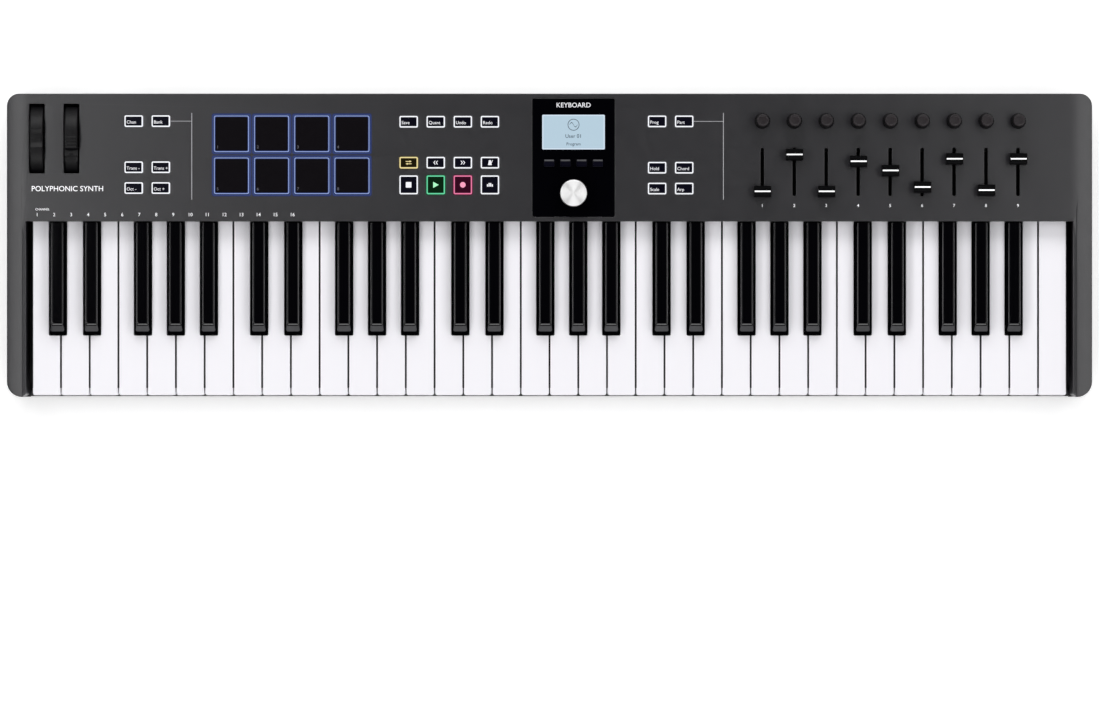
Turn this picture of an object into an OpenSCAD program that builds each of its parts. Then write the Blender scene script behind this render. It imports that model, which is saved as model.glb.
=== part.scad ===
// Sixty-one key controller synthesizer with wheels, pads, screen, knobs and faders.
// Origin: the centre of the footprint, on the surface under the rubber feet.
// +X is the player's right, +Y the rear, +Z up. All sizes are millimetres.

/* [Case] */
// Width over both end cheeks
case_w = 889; // [884:0.5:896]
// Depth from the cheek fronts to the rear wall
case_d = 247.6; // [247:0.1:249]
// Height of the panel above the surface
panel_z = 55; // [54.5:0.5:57]
// Wall thickness of the mouldings
wall = 2.4; // [2:0.1:2.6]
// Radius of the case's upright corners
corner_r = 10.5; // [8:0.5:12]
// Inward lean of each end wall over its height
end_draft = 1.6; // [0:0.2:2]
// Length over which the panel rolls down to each end
crown_run = 20; // [14:1:24]
// Drop of the panel at its very ends
crown_drop = 2.4; // [1:0.2:3]
// Height of the chamfered lower edge
chamfer_h = 5.7; // [5.4:0.1:6]
// Length of that chamfer at the two ends
chamfer_end = 21; // [16:1:22]
// Length of that chamfer at the rear
chamfer_rear = 16; // [12:1:17]

/* [Feet] */
// Height of a rubber foot
foot_h = 2; // [2:0.1:2.4]
// Diameter of a rubber foot
foot_d = 22.8; // [18:0.2:24]
// Distance of the outer feet from the middle
foot_far_x = 409; // [390:1:410]
// Distance of the inner feet from the middle
foot_near_x = 169; // [150:1:180]

/* [Keys] */
// Centre-to-centre distance of the white keys
key_pitch = 23.5; // [23.4:0.05:23.52]
// Gap between two keys
key_gap = 1; // [0.8:0.1:1.2]
// Front end of the white keys
key_front_y = -122.4; // [-122.4:0.1:-121.8]
// Height of the white keys' playing surface
key_top_z = 42.5; // [42:0.1:42.8]
// Front end of the black keys
black_front_y = -72.3; // [-74:0.1:-70]
// Width of a black key at its foot
black_w = 13; // [12.4:0.1:13]
// Width of a black key's flat top
black_top_w = 9.2; // [8.8:0.1:9.6]
// Height of the black keys' flat top
black_top_z = 53.8; // [53:0.1:53.8]
// Place of C sharp relative to the gap it covers
shift_c_sharp = -2.4; // [-3:0.1:-1.8]
// Place of D sharp relative to the gap it covers
shift_d_sharp = 2; // [1.6:0.1:2.8]
// Place of F sharp relative to the gap it covers
shift_f_sharp = -3.4; // [-3.6:0.1:-2.8]
// Place of A sharp relative to the gap it covers
shift_a_sharp = 3.5; // [2.8:0.1:3.6]
// Front edge of the control panel, behind the playing area
panel_front_y = 19.6; // [19.6:0.1:20]
// Front-to-back place of the key hinge
hinge_y = 38; // [37.6:0.1:38.4]
// Height of the key hinge
hinge_z = 33; // [32.8:0.1:33.2]

/* [Wheels] */
// Place of the pitch wheel
pitch_x = -418.2; // [-418.6:0.1:-417.8]
// Place of the modulation wheel
mod_x = -390; // [-391:0.1:-389]
// Front-to-back place of both wheels' axle
wheel_y = 87.1; // [86.8:0.1:87.2]
// Radius of a wheel
wheel_r = 33.5; // [33:0.1:33.6]
// How far a wheel stands above the panel
wheel_rise = 10.6; // [10:0.1:11]
// Width of a wheel
wheel_w = 10.8; // [10.4:0.1:11]
// Length of a wheel's slot in the panel
wheel_slot_l = 56.8; // [56:0.1:57]
// Width of a wheel's slot in the panel
wheel_slot_w = 12.6; // [12.4:0.1:12.8]

/* [Buttons and pads] */
// Width of a button
button_w = 15; // [14.6:0.1:15.2]
// Depth of a flat button
button_d = 9.4; // [9:0.1:9.6]
// Height of a button above the panel
button_rise = 1.6; // [1.2:0.1:2]
// Centre-to-centre distance of the button columns
button_pitch = 22.1; // [22:0.05:22.2]
// First column of the left buttons
left_x = -339.2; // [-340:0.1:-338]
// First column of the centre buttons
centre_x = -114.9; // [-115.4:0.1:-114.4]
// First column of the right buttons
right_x = 87.8; // [87.4:0.1:88.2]
// Width of a drum pad
pad_w = 28.5; // [28:0.1:28.8]
// Depth of a drum pad
pad_d = 29.7; // [29:0.1:30]
// Height of a drum pad above the panel
pad_rise = 2; // [1.6:0.1:2.4]
// First column of the drum pads
pad_x = -259.4; // [-260:0.1:-259]
// Centre-to-centre distance of the pads, sideways
pad_pitch_x = 32.75; // [32.6:0.05:33]
// Rear row of the drum pads
pad_y = 90.9; // [90.4:0.1:91]
// Centre-to-centre distance of the pads, front to back
pad_pitch_y = 34.2; // [34:0.1:34.4]

/* [Screen] */
// Middle of the screen cover
cover_x = 19.6; // [19.4:0.1:19.8]
// Front-to-back middle of the screen cover
cover_y = 71.6; // [71.4:0.1:71.8]
// Width of the screen cover
cover_w = 67.2; // [66:0.2:68]
// Depth of the screen cover
cover_d = 96.7; // [96:0.1:97]
// Diameter of the main knob
main_knob_d = 22.4; // [21:0.1:23]
// Height of the main knob's top above the panel
main_knob_rise = 13.5; // [12.5:0.1:14]
// Front-to-back place of the main knob
main_knob_y = 42.4; // [42:0.1:42.8]

/* [Knobs and faders] */
// Number of knob and fader pairs
strip_count = 9; // [7:1:9]
// Place of the first knob and fader
strip_x = 173.6; // [173:0.1:174]
// Centre-to-centre distance of the knobs
strip_pitch = 26.07; // [26:0.01:26.1]
// Front-to-back place of the knobs
knob_y = 101.3; // [101:0.1:101.4]
// Diameter of a knob at its foot
knob_d = 12.6; // [12:0.1:13]
// Diameter of a knob at its top
knob_top_d = 10.4; // [10:0.1:11]
// Height of a knob's top above the panel
knob_rise = 16.7; // [16:0.1:17]
// Travel of a fader
fader_travel = 30; // [30:0.5:30.5]
// Lowest place of a fader's middle
fader_min_y = 43.8; // [43.6:0.1:44]
// Width of a fader cap
fader_w = 13.9; // [13:0.1:14.2]
// Depth of a fader cap
fader_d = 9.7; // [9.4:0.1:10]
// Height of a fader cap's top above the panel
fader_rise = 11.4; // [11:0.1:12]
// Height of each fader above its lowest place
fader_rest = [0, 30, 0, 24.5, 17, 3.5, 26.5, 1, 26.5];

/* [Rear sockets] */
// Place of the pedal jack
jack_x = 63.8; // [63.4:0.1:64.2]
// Height of the pedal jack
jack_z = 36.8; // [36.6:0.1:37]
// Bore of the pedal jack, for a quarter inch plug
jack_bore_d = 6.4; // [6.36:0.02:6.5]
// Place of the five-pin socket
midi_x = 41; // [40.6:0.1:41.4]
// Height of the five-pin socket
midi_z = 33.6; // [33.4:0.1:34]
// Place of the power and data socket
usb_x = -4.2; // [-5:0.1:-3.6]
// Height of the power and data socket
usb_z = 42.2; // [42:0.1:42.3]
// Place of the security slot
lock_x = 398.5; // [398:0.1:399]
// Height of the security slot
lock_z = 37.2; // [36.8:0.1:37.6]
// Place of the screw in the rear wall
rear_screw_x = 394; // [393.5:0.1:394.5]
// Height of the screw in the rear wall
rear_screw_z = 13; // [12.8:0.1:13.2]

/* [Hidden] */
$fn = 48;
eps = 0.05;
gap = 0.4;                          // running gap round everything that moves
run_fit = 0.05;                     // radial clearance of a shaft in its bore

half_w = case_w / 2;
half_d = case_d / 2;
seam_z = foot_h + chamfer_h;        // top of the bottom case
seam_gap = 0.3;
panel_under = panel_z - wall;
floor_top = foot_h + wall;
well_half = 428.5;                  // hollow of the bottom case, each way from the middle
well_rear = 108;
crown_r = (crown_run * crown_run + crown_drop * crown_drop) / (2 * crown_drop);
crown_steps = 6;

// Playing area
octaves = 5;
whites = 7 * octaves + 1;
keys_left = -whites * key_pitch / 2;
bay_half = whites * key_pitch / 2 + 4.5;
cheek_wall_x = bay_half + 2.2;
panel_half = bay_half - 0.1;        // the panel meets the cheeks with a hairline joint
notch_half = black_w / 2 + 0.7;     // half of the space a black key takes between two whites
key_wall = 1.8;
key_roof = 2.2;
key_side_z = 30;                    // lower edge of a key's side walls
skirt_z = 20.5;                     // lower edge of a white key's front
key_dip_a = 3.57;                   // degrees that a key turns when pressed
head_end_y = black_front_y - 1;
key_tail_y = hinge_y - 4.5;
rail_r = 2.5;
hook_half = 5;
plunger_y = -8;
plunger_z = 24.8;
white_post_y = -105;
white_post_z = 29.5;
black_post_y = -52.5;
black_post_z = 43.5;
felt_t = 1.5;
black_shift = [shift_c_sharp, shift_d_sharp, shift_f_sharp, 0, shift_a_sharp];
BLACK_AFTER = [0, 1, -1, 2, 3, 4, -1];          // black key at the right of C D E F G A B
BLACK_BEFORE = [-1, 0, 1, -1, 2, 3, 4];         // black key at the left of C D E F G A B
WHITE_BELOW = [0, 1, 3, 4, 5];                  // white key at the left of each black key
WHITE_NAMES = ["keys_c", "keys_d", "keys_e", "keys_f", "keys_g", "keys_a", "keys_b"];
BLACK_NAMES = ["keys_c_sharp", "keys_d_sharp", "keys_f_sharp", "keys_g_sharp", "keys_a_sharp"];

// Keybed
chassis_half = keys_left + key_gap / 2;
chassis_front_y = -116;
chassis_rear_y = 44;
chassis_z = 5.2;
chassis_t = 2;
contact_z = 16.6;
board_t = 1.6;
dome_top_z = 21.4;

// Wheels
axle_z = panel_z + wheel_rise - wheel_r;
axle_r = 3;
pitch_half_a = 80;
mod_front_a = 108;
mod_rear_a = 50;

// Boards and controls under the panel
board_z = panel_z - 11;
board_top = board_z + board_t;
board_half_y = [28, 106.8];
button_rows = [101.1, 65.5, 48];
left_rows = [101.3, 63.7, 46.7];
right_rows = [101.1, 63.3, 46.3];
centre_rows = [100.8, 67.4, 49.3];
square_button_d = 15.3;
flange_t = 1.4;
flange_gap = 0.3;
flange_rim = 0.9;
screen_button_w = 8.3;
screen_button_d = 6;
screen_button_pitch = 13.25;
screen_button_y = 67.1;
cover_t = 1.7;
cover_rise = 0.3;
bush_r = 4.5;
shaft_r = 3;
bush_top = panel_z + 1.2;
knob_foot = panel_z + 2;
fader_slot_w = 2.6;
fader_slot_l = 39;
fader_slot_y = 59.85;
fader_foot = panel_z + 1.1;

// Fasteners
boss_r = 3.5;
pilot_r = 1.45;
shank_r = 1.4;
head_r = 3.7;
head_t = 2;
recess_r = 4.5;
seat_z = 5.5;                       // height of the shoulder that a screw head pulls on
rear_boss_y = 112.5;
rear_boss_x = [-257.1, -85.2, 88.4, 261.2];
cheek_boss_x = 435.5;
cheek_boss_y = [-92, 72];
BOSSES = concat(
    [for (x = rear_boss_x) [x, rear_boss_y]],
    [for (side = [-1, 1], y = cheek_boss_y) [side * cheek_boss_x, y]]
);

// ---------- shared shapes ----------

module rounded(w, d, r) {
    square([w - 2 * r, d], center = true);
    square([w, d - 2 * r], center = true);
    for (sx = [-1, 1], sy = [-1, 1])
        translate([sx * (w / 2 - r), sy * (d / 2 - r)])
            circle(r);
}

// A box from low to high along each axis
module span(x, y, z) {
    translate([x[0], y[0], z[0]])
        cube([x[1] - x[0], y[1] - y[0], z[1] - z[0]]);
}

module rounded_block(at, size, z, r) {
    translate([at[0], at[1], z[0]])
        linear_extrude(z[1] - z[0])
            rounded(size[0], size[1], r);
}

// An upright cylinder between two heights
module post(at, r, z) {
    translate([at[0], at[1], z[0]])
        cylinder(r = r, h = z[1] - z[0]);
}

// A cylinder along Y, starting at the front end
module rod_y(x, z, r, y) {
    translate([x, y[0], z])
        rotate([-90, 0, 0])
            cylinder(r = r, h = y[1] - y[0]);
}

// A cylinder along X
module rod_x(y, z, r, x) {
    translate([x[0], y, z])
        rotate([0, 90, 0])
            cylinder(r = r, h = x[1] - x[0]);
}

// A side outline, drawn as [y, z] points, carried along X
module along_x(x) {
    translate([x[0], 0, 0])
        rotate([90, 0, 90])
            linear_extrude(x[1] - x[0])
                children();
}

// A front outline, drawn as [x, z] points, carried along Y
module along_y(y) {
    translate([0, y[1], 0])
        rotate([90, 0, 0])
            linear_extrude(y[1] - y[0])
                children();
}

// ---------- case ----------

function crown(t) = crown_r - sqrt(crown_r * crown_r - t * t);

// Right half of the case's outline from the front, shrunk inwards by inset
function end_outline(inset) = concat(
    [
        [half_w - chamfer_end - inset, foot_h - (inset > 0 ? 1 : 0)],
        [half_w - inset, seam_z]
    ],
    [
        for (i = [crown_steps:-1:0])
            let (t = crown_run * i / crown_steps)
            [half_w - end_draft - crown_run + t - inset, panel_z - crown(t) - inset]
    ]
);

module front_outline(inset) {
    right = end_outline(inset);
    last = len(right) - 1;
    polygon(concat(right, [for (i = [last:-1:0]) [-right[i][0], right[i][1]]]));
}

module case_solid(inset, z) {
    intersection() {
        rounded_block([0, 0], [case_w - 2 * inset, case_d - 2 * inset], z, corner_r - inset);
        along_y([-half_d - 1, half_d + 1])
            front_outline(inset);
    }
}

module panel_hole(at, size, r) {
    rounded_block(at, size, [panel_under - 1, panel_z + 1], r);
}

function column(first, i) = first + button_pitch * i;
function pad_at(i, j) = [pad_x + pad_pitch_x * i, pad_y - pad_pitch_y * j];
function screen_button_at(i) = [cover_x + screen_button_pitch * (i - 1.5), screen_button_y];
function strip_at(i) = strip_x + strip_pitch * i;

// Places and sizes of each group of buttons: [x, y, width, depth]
LEFT_BUTTONS = [
    for (i = [0, 1], y = left_rows) [column(left_x, i), y, button_w, button_d]
];
RIGHT_BUTTONS = [
    for (i = [0, 1], y = right_rows) [column(right_x, i), y, button_w, button_d]
];
EDIT_BUTTONS = [
    for (i = [0:3]) [column(centre_x, i), centre_rows[0], button_w, button_d]
];
LOOP_BUTTONS = [
    for (i = [0:3]) [column(centre_x, i), centre_rows[1], button_w, button_d]
];
TRANSPORT_BUTTONS = [
    for (i = [0:3]) [column(centre_x, i), centre_rows[2], button_w, square_button_d]
];
PANEL_BUTTONS = concat(LEFT_BUTTONS, RIGHT_BUTTONS, EDIT_BUTTONS, LOOP_BUTTONS, TRANSPORT_BUTTONS);
BUTTON_R = 1.2;
PAD_R = 1.4;

module panel_openings() {
    for (x = [pitch_x, mod_x])
        panel_hole([x, wheel_y], [wheel_slot_w, wheel_slot_l], 0.6);
    for (b = PANEL_BUTTONS)
        panel_hole([b[0], b[1]], [b[2] + 2 * gap, b[3] + 2 * gap], BUTTON_R + gap);
    for (i = [0:3], j = [0, 1])
        panel_hole(pad_at(i, j), [pad_w + 2 * gap, pad_d + 2 * gap], PAD_R + gap);
    for (i = [0:strip_count - 1]) {
        post([strip_at(i), knob_y], bush_r + gap, [panel_under - 1, panel_z + 1]);
        panel_hole([strip_at(i), fader_slot_y], [fader_slot_w, fader_slot_l], 0.8);
    }
    // ledge and window for the screen cover
    rounded_block(
        [cover_x, cover_y], [cover_w + gap, cover_d + gap],
        [panel_z + cover_rise - cover_t, panel_z + 1], 2
    );
    panel_hole([cover_x, cover_y], [cover_w - 6, cover_d - 6], 1);
}

module rear_openings() {
    wall_y = [half_d - wall - 1, half_d + 1];
    rod_y(jack_x, jack_z, 5.2, wall_y);
    rod_y(midi_x, midi_z, 6.8, wall_y);
    along_y(wall_y) {
        translate([usb_x, usb_z])
            rounded(9.8, 4, 1.9);
        translate([lock_x, lock_z])
            rounded(7, 3.5, 1.2);
    }
    rod_y(rear_screw_x, rear_screw_z, recess_r, [half_d - 6, half_d + 1]);
    rod_y(rear_screw_x, rear_screw_z, shank_r + 0.3, [half_d - 12, half_d]);
}

// The hollow upper shell, open over the keys, before it is parted into the panel and the two cheeks
module upper_shell(x) {
    intersection() {
        difference() {
            case_solid(0, [seam_z + seam_gap, panel_z]);
            case_solid(wall, [0, panel_z]);
            span([-bay_half, bay_half], [-half_d - 1, panel_front_y], [0, panel_z + 1]);
        }
        span(x, [-half_d, half_d], [0, panel_z]);
    }
}

module top_case() {
    color("#3c3b3f")
        difference() {
            union() {
                upper_shell([-panel_half, panel_half]);
                span(
                    [-panel_half, panel_half], [panel_front_y, panel_front_y + wall],
                    [key_top_z + 2, panel_z - 1]
                );
                for (x = rear_boss_x)
                    post([x, rear_boss_y], boss_r, [seam_z, panel_under + 0.5]);
                intersection() {
                    rod_y(rear_screw_x, rear_screw_z, 6, [half_d - 10, half_d - 1]);
                    case_solid(0, [seam_z + seam_gap, panel_z]);
                }
            }
            panel_openings();
            rear_openings();
            for (x = rear_boss_x)
                post([x, rear_boss_y], pilot_r, [seam_z - 1, 30]);
        }
}

module right_cheek() {
    difference() {
        union() {
            upper_shell([bay_half, half_w]);
            span(
                [bay_half, cheek_wall_x], [-half_d + 1, half_d - 1],
                [seam_z + seam_gap, panel_z - 1]
            );
            for (y = cheek_boss_y)
                post([cheek_boss_x, y], boss_r, [seam_z, panel_under + 0.5]);
        }
        for (y = cheek_boss_y)
            post([cheek_boss_x, y], pilot_r, [seam_z - 1, 30]);
    }
}

module end_cheeks() {
    color("#3c3b3f")
        for (side = [0, 1])
            mirror([side, 0, 0])
                right_cheek();
}

module bottom_case() {
    color("#454449")
        difference() {
            union() {
                intersection() {
                    case_solid(0, [foot_h, seam_z]);
                    along_x([-half_w, half_w])
                        polygon([
                            [-half_d, foot_h],
                            [half_d - chamfer_rear, foot_h],
                            [half_d, seam_z],
                            [-half_d, seam_z]
                        ]);
                }
                // front lip under the white keys
                span([-bay_half + 0.6, bay_half - 0.6], [-121, -118.6], [foot_h, 9.7]);
                // upstand that takes the rear screw
                span([rear_screw_x - 6, rear_screw_x + 6], [102, 110], [foot_h + 1, 19]);
            }
            // between the cheeks the bottom case stops behind the key fronts
            span([-bay_half + 0.6, bay_half - 0.6], [-half_d - 1, -121], [0, seam_z + 1]);
            difference() {
                span([-well_half, well_half], [-118.6, well_rear], [floor_top, seam_z + 1]);
                span([rear_screw_x - 6, rear_screw_x + 6], [102, 110], [0, 19]);
            }
            for (b = BOSSES) {
                post(b, recess_r, [0, seat_z]);
                post(b, shank_r + 0.3, [0, seam_z + 1]);
            }
            rod_y(rear_screw_x, rear_screw_z, pilot_r, [101, 111]);
        }
}

module rubber_feet() {
    color("#141414")
        for (sx = [-1, 1], x = [foot_near_x, foot_far_x], y = [-98, 94])
            translate([sx * x, y, 0]) {
                cylinder(r1 = foot_d / 2 - 0.8, r2 = foot_d / 2, h = 0.8, $fn = 64);
                translate([0, 0, 0.8])
                    cylinder(d = foot_d, h = foot_h - 0.8);
            }
}

module screw(length) {
    difference() {
        cylinder(r = head_r, h = head_t);
        for (a = [0, 90])
            rotate(a)
                translate([-2, -0.45, -eps])
                    cube([4, 0.9, 1.2]);
    }
    translate([0, 0, head_t - eps])
        cylinder(r = shank_r, h = length + eps);
}

module case_screws() {
    color("#8a8a8e") {
        for (b = BOSSES)
            translate([b[0], b[1], seat_z - head_t])
                screw(14);
        translate([rear_screw_x, half_d - 6 + head_t, rear_screw_z])
            rotate([90, 0, 0])
                screw(12);
    }
}

// ---------- keys ----------

function white_left(i) = keys_left + key_pitch * i;
function tail_left(n) =
    BLACK_BEFORE[n] < 0 ? key_gap / 2 : black_shift[BLACK_BEFORE[n]] + notch_half;
function tail_right(n) =
    BLACK_AFTER[n] < 0 ? key_pitch - key_gap / 2
                       : key_pitch + black_shift[BLACK_AFTER[n]] - notch_half;
function black_x(octave, b) =
    white_left(7 * octave + WHITE_BELOW[b] + 1) + black_shift[b];
WHITE_TAILS = concat(
    [
        for (o = [0:octaves - 1], n = [0:6])
            white_left(7 * o + n) + (tail_left(n) + tail_right(n)) / 2
    ],
    [white_left(whites - 1) + key_pitch / 2]
);
BLACK_PLACES = [for (o = [0:octaves - 1], b = [0:4]) black_x(o, b)];
KEY_PLACES = concat(WHITE_TAILS, BLACK_PLACES);

// The hook at the back of a key, which clips round the hinge rail from the front
module key_hook(x) {
    difference() {
        span(x, [key_tail_y, hinge_y + 3.2], [hinge_z - hook_half, hinge_z + hook_half]);
        rod_x(hinge_y, hinge_z, rail_r + run_fit, [x[0] - 1, x[1] + 1]);
        span([x[0] - 1, x[1] + 1], [hinge_y, hinge_y + 4], [hinge_z - 1.7, hinge_z + 1.7]);
    }
}

// The rib inside a key that presses its rubber dome
module key_plunger(x, top) {
    span([x - 2, x + 2], [plunger_y - 2, plunger_y + 2], [plunger_z, top - 1]);
}

// One white key, from its left edge; its tail runs from tl to tr
module white_key(left, tl, tr) {
    head = [left + key_gap / 2, left + key_pitch - key_gap / 2];
    tail = [left + tl, left + tr];
    difference() {
        union() {
            span(head, [key_front_y, head_end_y], [key_side_z, key_top_z]);
            span(head, [key_front_y, key_front_y + 6], [skirt_z, key_side_z + 1]);
            span(tail, [head_end_y - 1, key_tail_y + 1], [key_side_z, key_top_z]);
        }
        span(
            [head[0] + key_wall, head[1] - key_wall],
            [key_front_y + key_wall, head_end_y - key_wall],
            [skirt_z - 1, key_top_z - key_roof]
        );
        span(
            [tail[0] + key_wall, tail[1] - key_wall],
            [head_end_y - key_wall - 1, key_tail_y - 4],
            [key_side_z - 1, key_top_z - key_roof]
        );
    }
    key_plunger((tail[0] + tail[1]) / 2, key_top_z);
    key_hook(tail);
}

// All the keys of one note; the top C has no black key beside it
module white_keys(n) {
    color("#f2f1f4") {
        for (o = [0:octaves - 1])
            white_key(white_left(7 * o + n), tail_left(n), tail_right(n));
        if (n == 0)
            white_key(white_left(whites - 1), key_gap / 2, key_pitch - key_gap / 2);
    }
}

module black_key(x) {
    half = black_w / 2;
    top = black_top_w / 2;
    body_end = panel_front_y - 1;
    difference() {
        union() {
            intersection() {
                translate([x, 0, 0])
                    along_y([black_front_y - 1, body_end + 1])
                        polygon([
                            [-half, key_side_z], [half, key_side_z], [half, key_top_z + 0.5],
                            [top, black_top_z], [-top, black_top_z], [-half, key_top_z + 0.5]
                        ]);
                along_x([x - half - 1, x + half + 1])
                    polygon([
                        [black_front_y, key_side_z], [black_front_y, key_top_z + 2.5],
                        [black_front_y + 2.1, black_top_z - 5],
                        [black_front_y + 6.7, black_top_z - 1.2],
                        [black_front_y + 9.1, black_top_z],
                        [body_end, black_top_z], [body_end, key_side_z]
                    ]);
            }
            span([x - half, x + half], [body_end - 1, key_tail_y + 1], [key_side_z, key_top_z - 1]);
        }
        span(
            [x - top + 1.6, x + top - 1.6],
            [black_front_y + 10.5, body_end - 2],
            [key_side_z - 1, black_top_z - 2.5]
        );
        span(
            [x - top + 1.6, x + top - 1.6],
            [body_end - 3, key_tail_y - 4],
            [key_side_z - 1, key_top_z - 3.2]
        );
    }
    key_plunger(x, black_top_z);
    key_hook([x - half, x + half]);
}

module black_keys(b) {
    color("#17171a")
        for (o = [0:octaves - 1])
            black_key(black_x(o, b));
}

// ---------- keybed ----------

module keybed_chassis() {
    half = -chassis_half;
    color("#b9bcc0") {
        along_x([-half, half]) {
            // floor, board rails, rear wall and the web that carries the hinge rail
            translate([chassis_front_y, chassis_z])
                square([chassis_rear_y + wall - chassis_front_y, chassis_t]);
            for (y = [-28, 8])
                translate([y, chassis_z])
                    square([2, contact_z - chassis_z]);
            translate([chassis_rear_y, chassis_z])
                square([wall, hinge_z + 6 - chassis_z]);
            translate([hinge_y, hinge_z - 1])
                square([chassis_rear_y - hinge_y + 1, 2]);
        }
        rod_x(hinge_y, hinge_z, rail_r, [-half, half]);
        for (i = [0:whites - 1])
            white_post(i, [chassis_z + 1, white_post_z]);
        for (x = BLACK_PLACES)
            black_post(x, [chassis_z + 1, black_post_z]);
    }
}

module white_post(i, z) {
    x = white_left(i) + key_pitch / 2;
    span([x - 5, x + 5], [white_post_y - 4, white_post_y + 4], z);
}

module black_post(x, z) {
    span([x - 1.9, x + 1.9], [black_post_y - 2.5, black_post_y + 2.5], z);
}

module key_felts() {
    color("#7a2f2c") {
        for (i = [0:whites - 1])
            white_post(i, [white_post_z, white_post_z + felt_t]);
        for (x = BLACK_PLACES)
            black_post(x, [black_post_z, black_post_z + felt_t]);
    }
}

module key_contact_board() {
    color("#1f6b3a")
        span([chassis_half + 1, -chassis_half - 1], [-30, 12], [contact_z, contact_z + board_t]);
}

module key_domes() {
    strip_z = contact_z + board_t;
    color("#3b3b3b") {
        span([chassis_half + 2, -chassis_half - 2], [-16, 0], [strip_z, strip_z + 1]);
        for (x = KEY_PLACES)
            post([x, plunger_y], 3, [strip_z + 1 - eps, dome_top_z]);
    }
}

// ---------- wheels ----------

function pie(from, to, r, steps) = concat(
    [[0, 0]],
    [
        for (i = [0:steps])
            let (a = from + (to - from) * i / steps)
            [r * sin(a), r * cos(a)]
    ]
);

// A wheel sector; angles run from straight up, positive towards the rear
module wheel(x, from, to, notch_a, notch_r, notch_depth) {
    rim = 4.5;
    hub_r = 7;
    edge = 1;
    translate([x, wheel_y, axle_z])
        difference() {
            intersection() {
                rotate([0, 90, 0])
                    rotate_extrude($fn = 96)
                        difference() {
                            union() {
                                translate([0, -wheel_w / 2 + edge])
                                    square([wheel_r, wheel_w - 2 * edge]);
                                translate([0, -wheel_w / 2])
                                    square([wheel_r - edge, wheel_w]);
                                for (s = [-1, 1])
                                    translate([wheel_r - edge, s * (wheel_w / 2 - edge)])
                                        circle(edge);
                            }
                            for (s = [-1, 1])
                                translate([hub_r, s * wheel_w / 2 - 3.6])
                                    square([wheel_r - rim - hub_r, 7.2]);
                        }
                union() {
                    along_x([-wheel_w, wheel_w])
                        polygon(pie(from, to, 2 * wheel_r, 8));
                    rod_x(0, 0, hub_r, [-wheel_w, wheel_w]);
                }
            }
            rod_x(0, 0, axle_r + run_fit, [-wheel_w, wheel_w]);
            rotate([-notch_a, 0, 0])
                translate([0, 0, wheel_r + notch_r - notch_depth])
                    rod_x(0, 0, notch_r, [-wheel_w, wheel_w]);
        }
}

module pitch_wheel() {
    color("#1b1b1e")
        wheel(pitch_x, -pitch_half_a, pitch_half_a, 0, 16, 2.4);
}

module mod_wheel() {
    color("#1b1b1e")
        wheel(mod_x, -mod_front_a, mod_rear_a, -26, 8, 2.2);
}

module wheel_bracket() {
    left = pitch_x - wheel_w / 2 - 3.8;
    right = mod_x + wheel_w / 2 + 6.6;
    middle = (pitch_x + mod_x) / 2;
    color("#26262a") {
        span([left, right], [58, well_rear - 1], [floor_top, floor_top + 2]);
        for (x = [left, middle - 1.3, right - 2.6])
            along_x([x, x + 2.6])
                polygon([
                    [62, floor_top + 1], [well_rear - 2, floor_top + 1],
                    [wheel_y + 6, axle_z + 6], [wheel_y - 6, axle_z + 6]
                ]);
        rod_x(wheel_y, axle_z, axle_r, [left, right]);
    }
}

// ---------- boards and screen ----------

module main_board() {
    color("#1f6b3a") {
        span([-150, 20], [54, 104], [10, 10 + board_t]);
        span([-90, -68], [66, 88], [10 + board_t, 13]);
        span([-40, -26], [70, 84], [10 + board_t, 13]);
        for (x = [-144, 14], y = [60, 98])
            post([x, y], 3, [floor_top, 10]);
    }
}

module control_board() {
    color("#1f6b3a")
        difference() {
            union() {
                span([-356, 404], board_half_y, [board_z, board_top]);
                for (b = PANEL_BUTTONS)
                    span([b[0] - 3, b[0] + 3], [b[1] - 3, b[1] + 3], [board_top - eps, board_top + 2.2]);
                for (i = [0:3], j = [0, 1])
                    rounded_block(pad_at(i, j), [24, 25], [board_top - eps, board_top + 3.6], 1);
                for (x = [-340, -128, 76, 156, 396])
                    post([x, 32], 2.6, [board_top - eps, panel_under]);
            }
            post([cover_x, main_knob_y], 3.4, [board_z - 1, board_top + 1]);
        }
}

module display_module() {
    color("#aeb4b8") {
        span([cover_x - 28, cover_x + 28], [76, 109 - 3], [board_top, panel_under - 1.6]);
        span([cover_x - 25.6, cover_x + 25.6], [78.2, 105.6], [panel_under - 1.6, panel_under - 0.2]);
    }
}

module display_cover() {
    color("#08080a")
        difference() {
            rounded_block(
                [cover_x, cover_y], [cover_w, cover_d],
                [panel_z + cover_rise - cover_t, panel_z + cover_rise], 1.8
            );
            for (i = [0:3])
                panel_hole(
                    screen_button_at(i),
                    [screen_button_w + 2 * gap, screen_button_d + 2 * gap], 0.9
                );
            post([cover_x, main_knob_y], bush_r + gap, [panel_under - 1, panel_z + 2]);
        }
}

// ---------- controls ----------

// A cap with a flange that stays under the panel
module button(b, rise) {
    flange_top = panel_under - flange_gap;
    rounded_block([b[0], b[1]], [b[2], b[3]], [flange_top - eps, panel_z + rise], BUTTON_R);
    rounded_block(
        [b[0], b[1]], [b[2] + 2 * (gap + flange_rim), b[3] + 2 * (gap + flange_rim)],
        [flange_top - flange_t, flange_top], BUTTON_R
    );
    post([b[0], b[1]], 2, [board_top + 3.4, flange_top - flange_t + eps]);
}

module button_group(group) {
    color("#20222c")
        for (b = group)
            button(b, button_rise);
}

module left_buttons() {
    button_group(LEFT_BUTTONS);
}

module right_buttons() {
    button_group(RIGHT_BUTTONS);
}

module edit_buttons() {
    button_group(EDIT_BUTTONS);
}

module loop_buttons() {
    button_group(LOOP_BUTTONS);
}

module transport_buttons() {
    button_group(TRANSPORT_BUTTONS);
}

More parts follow.
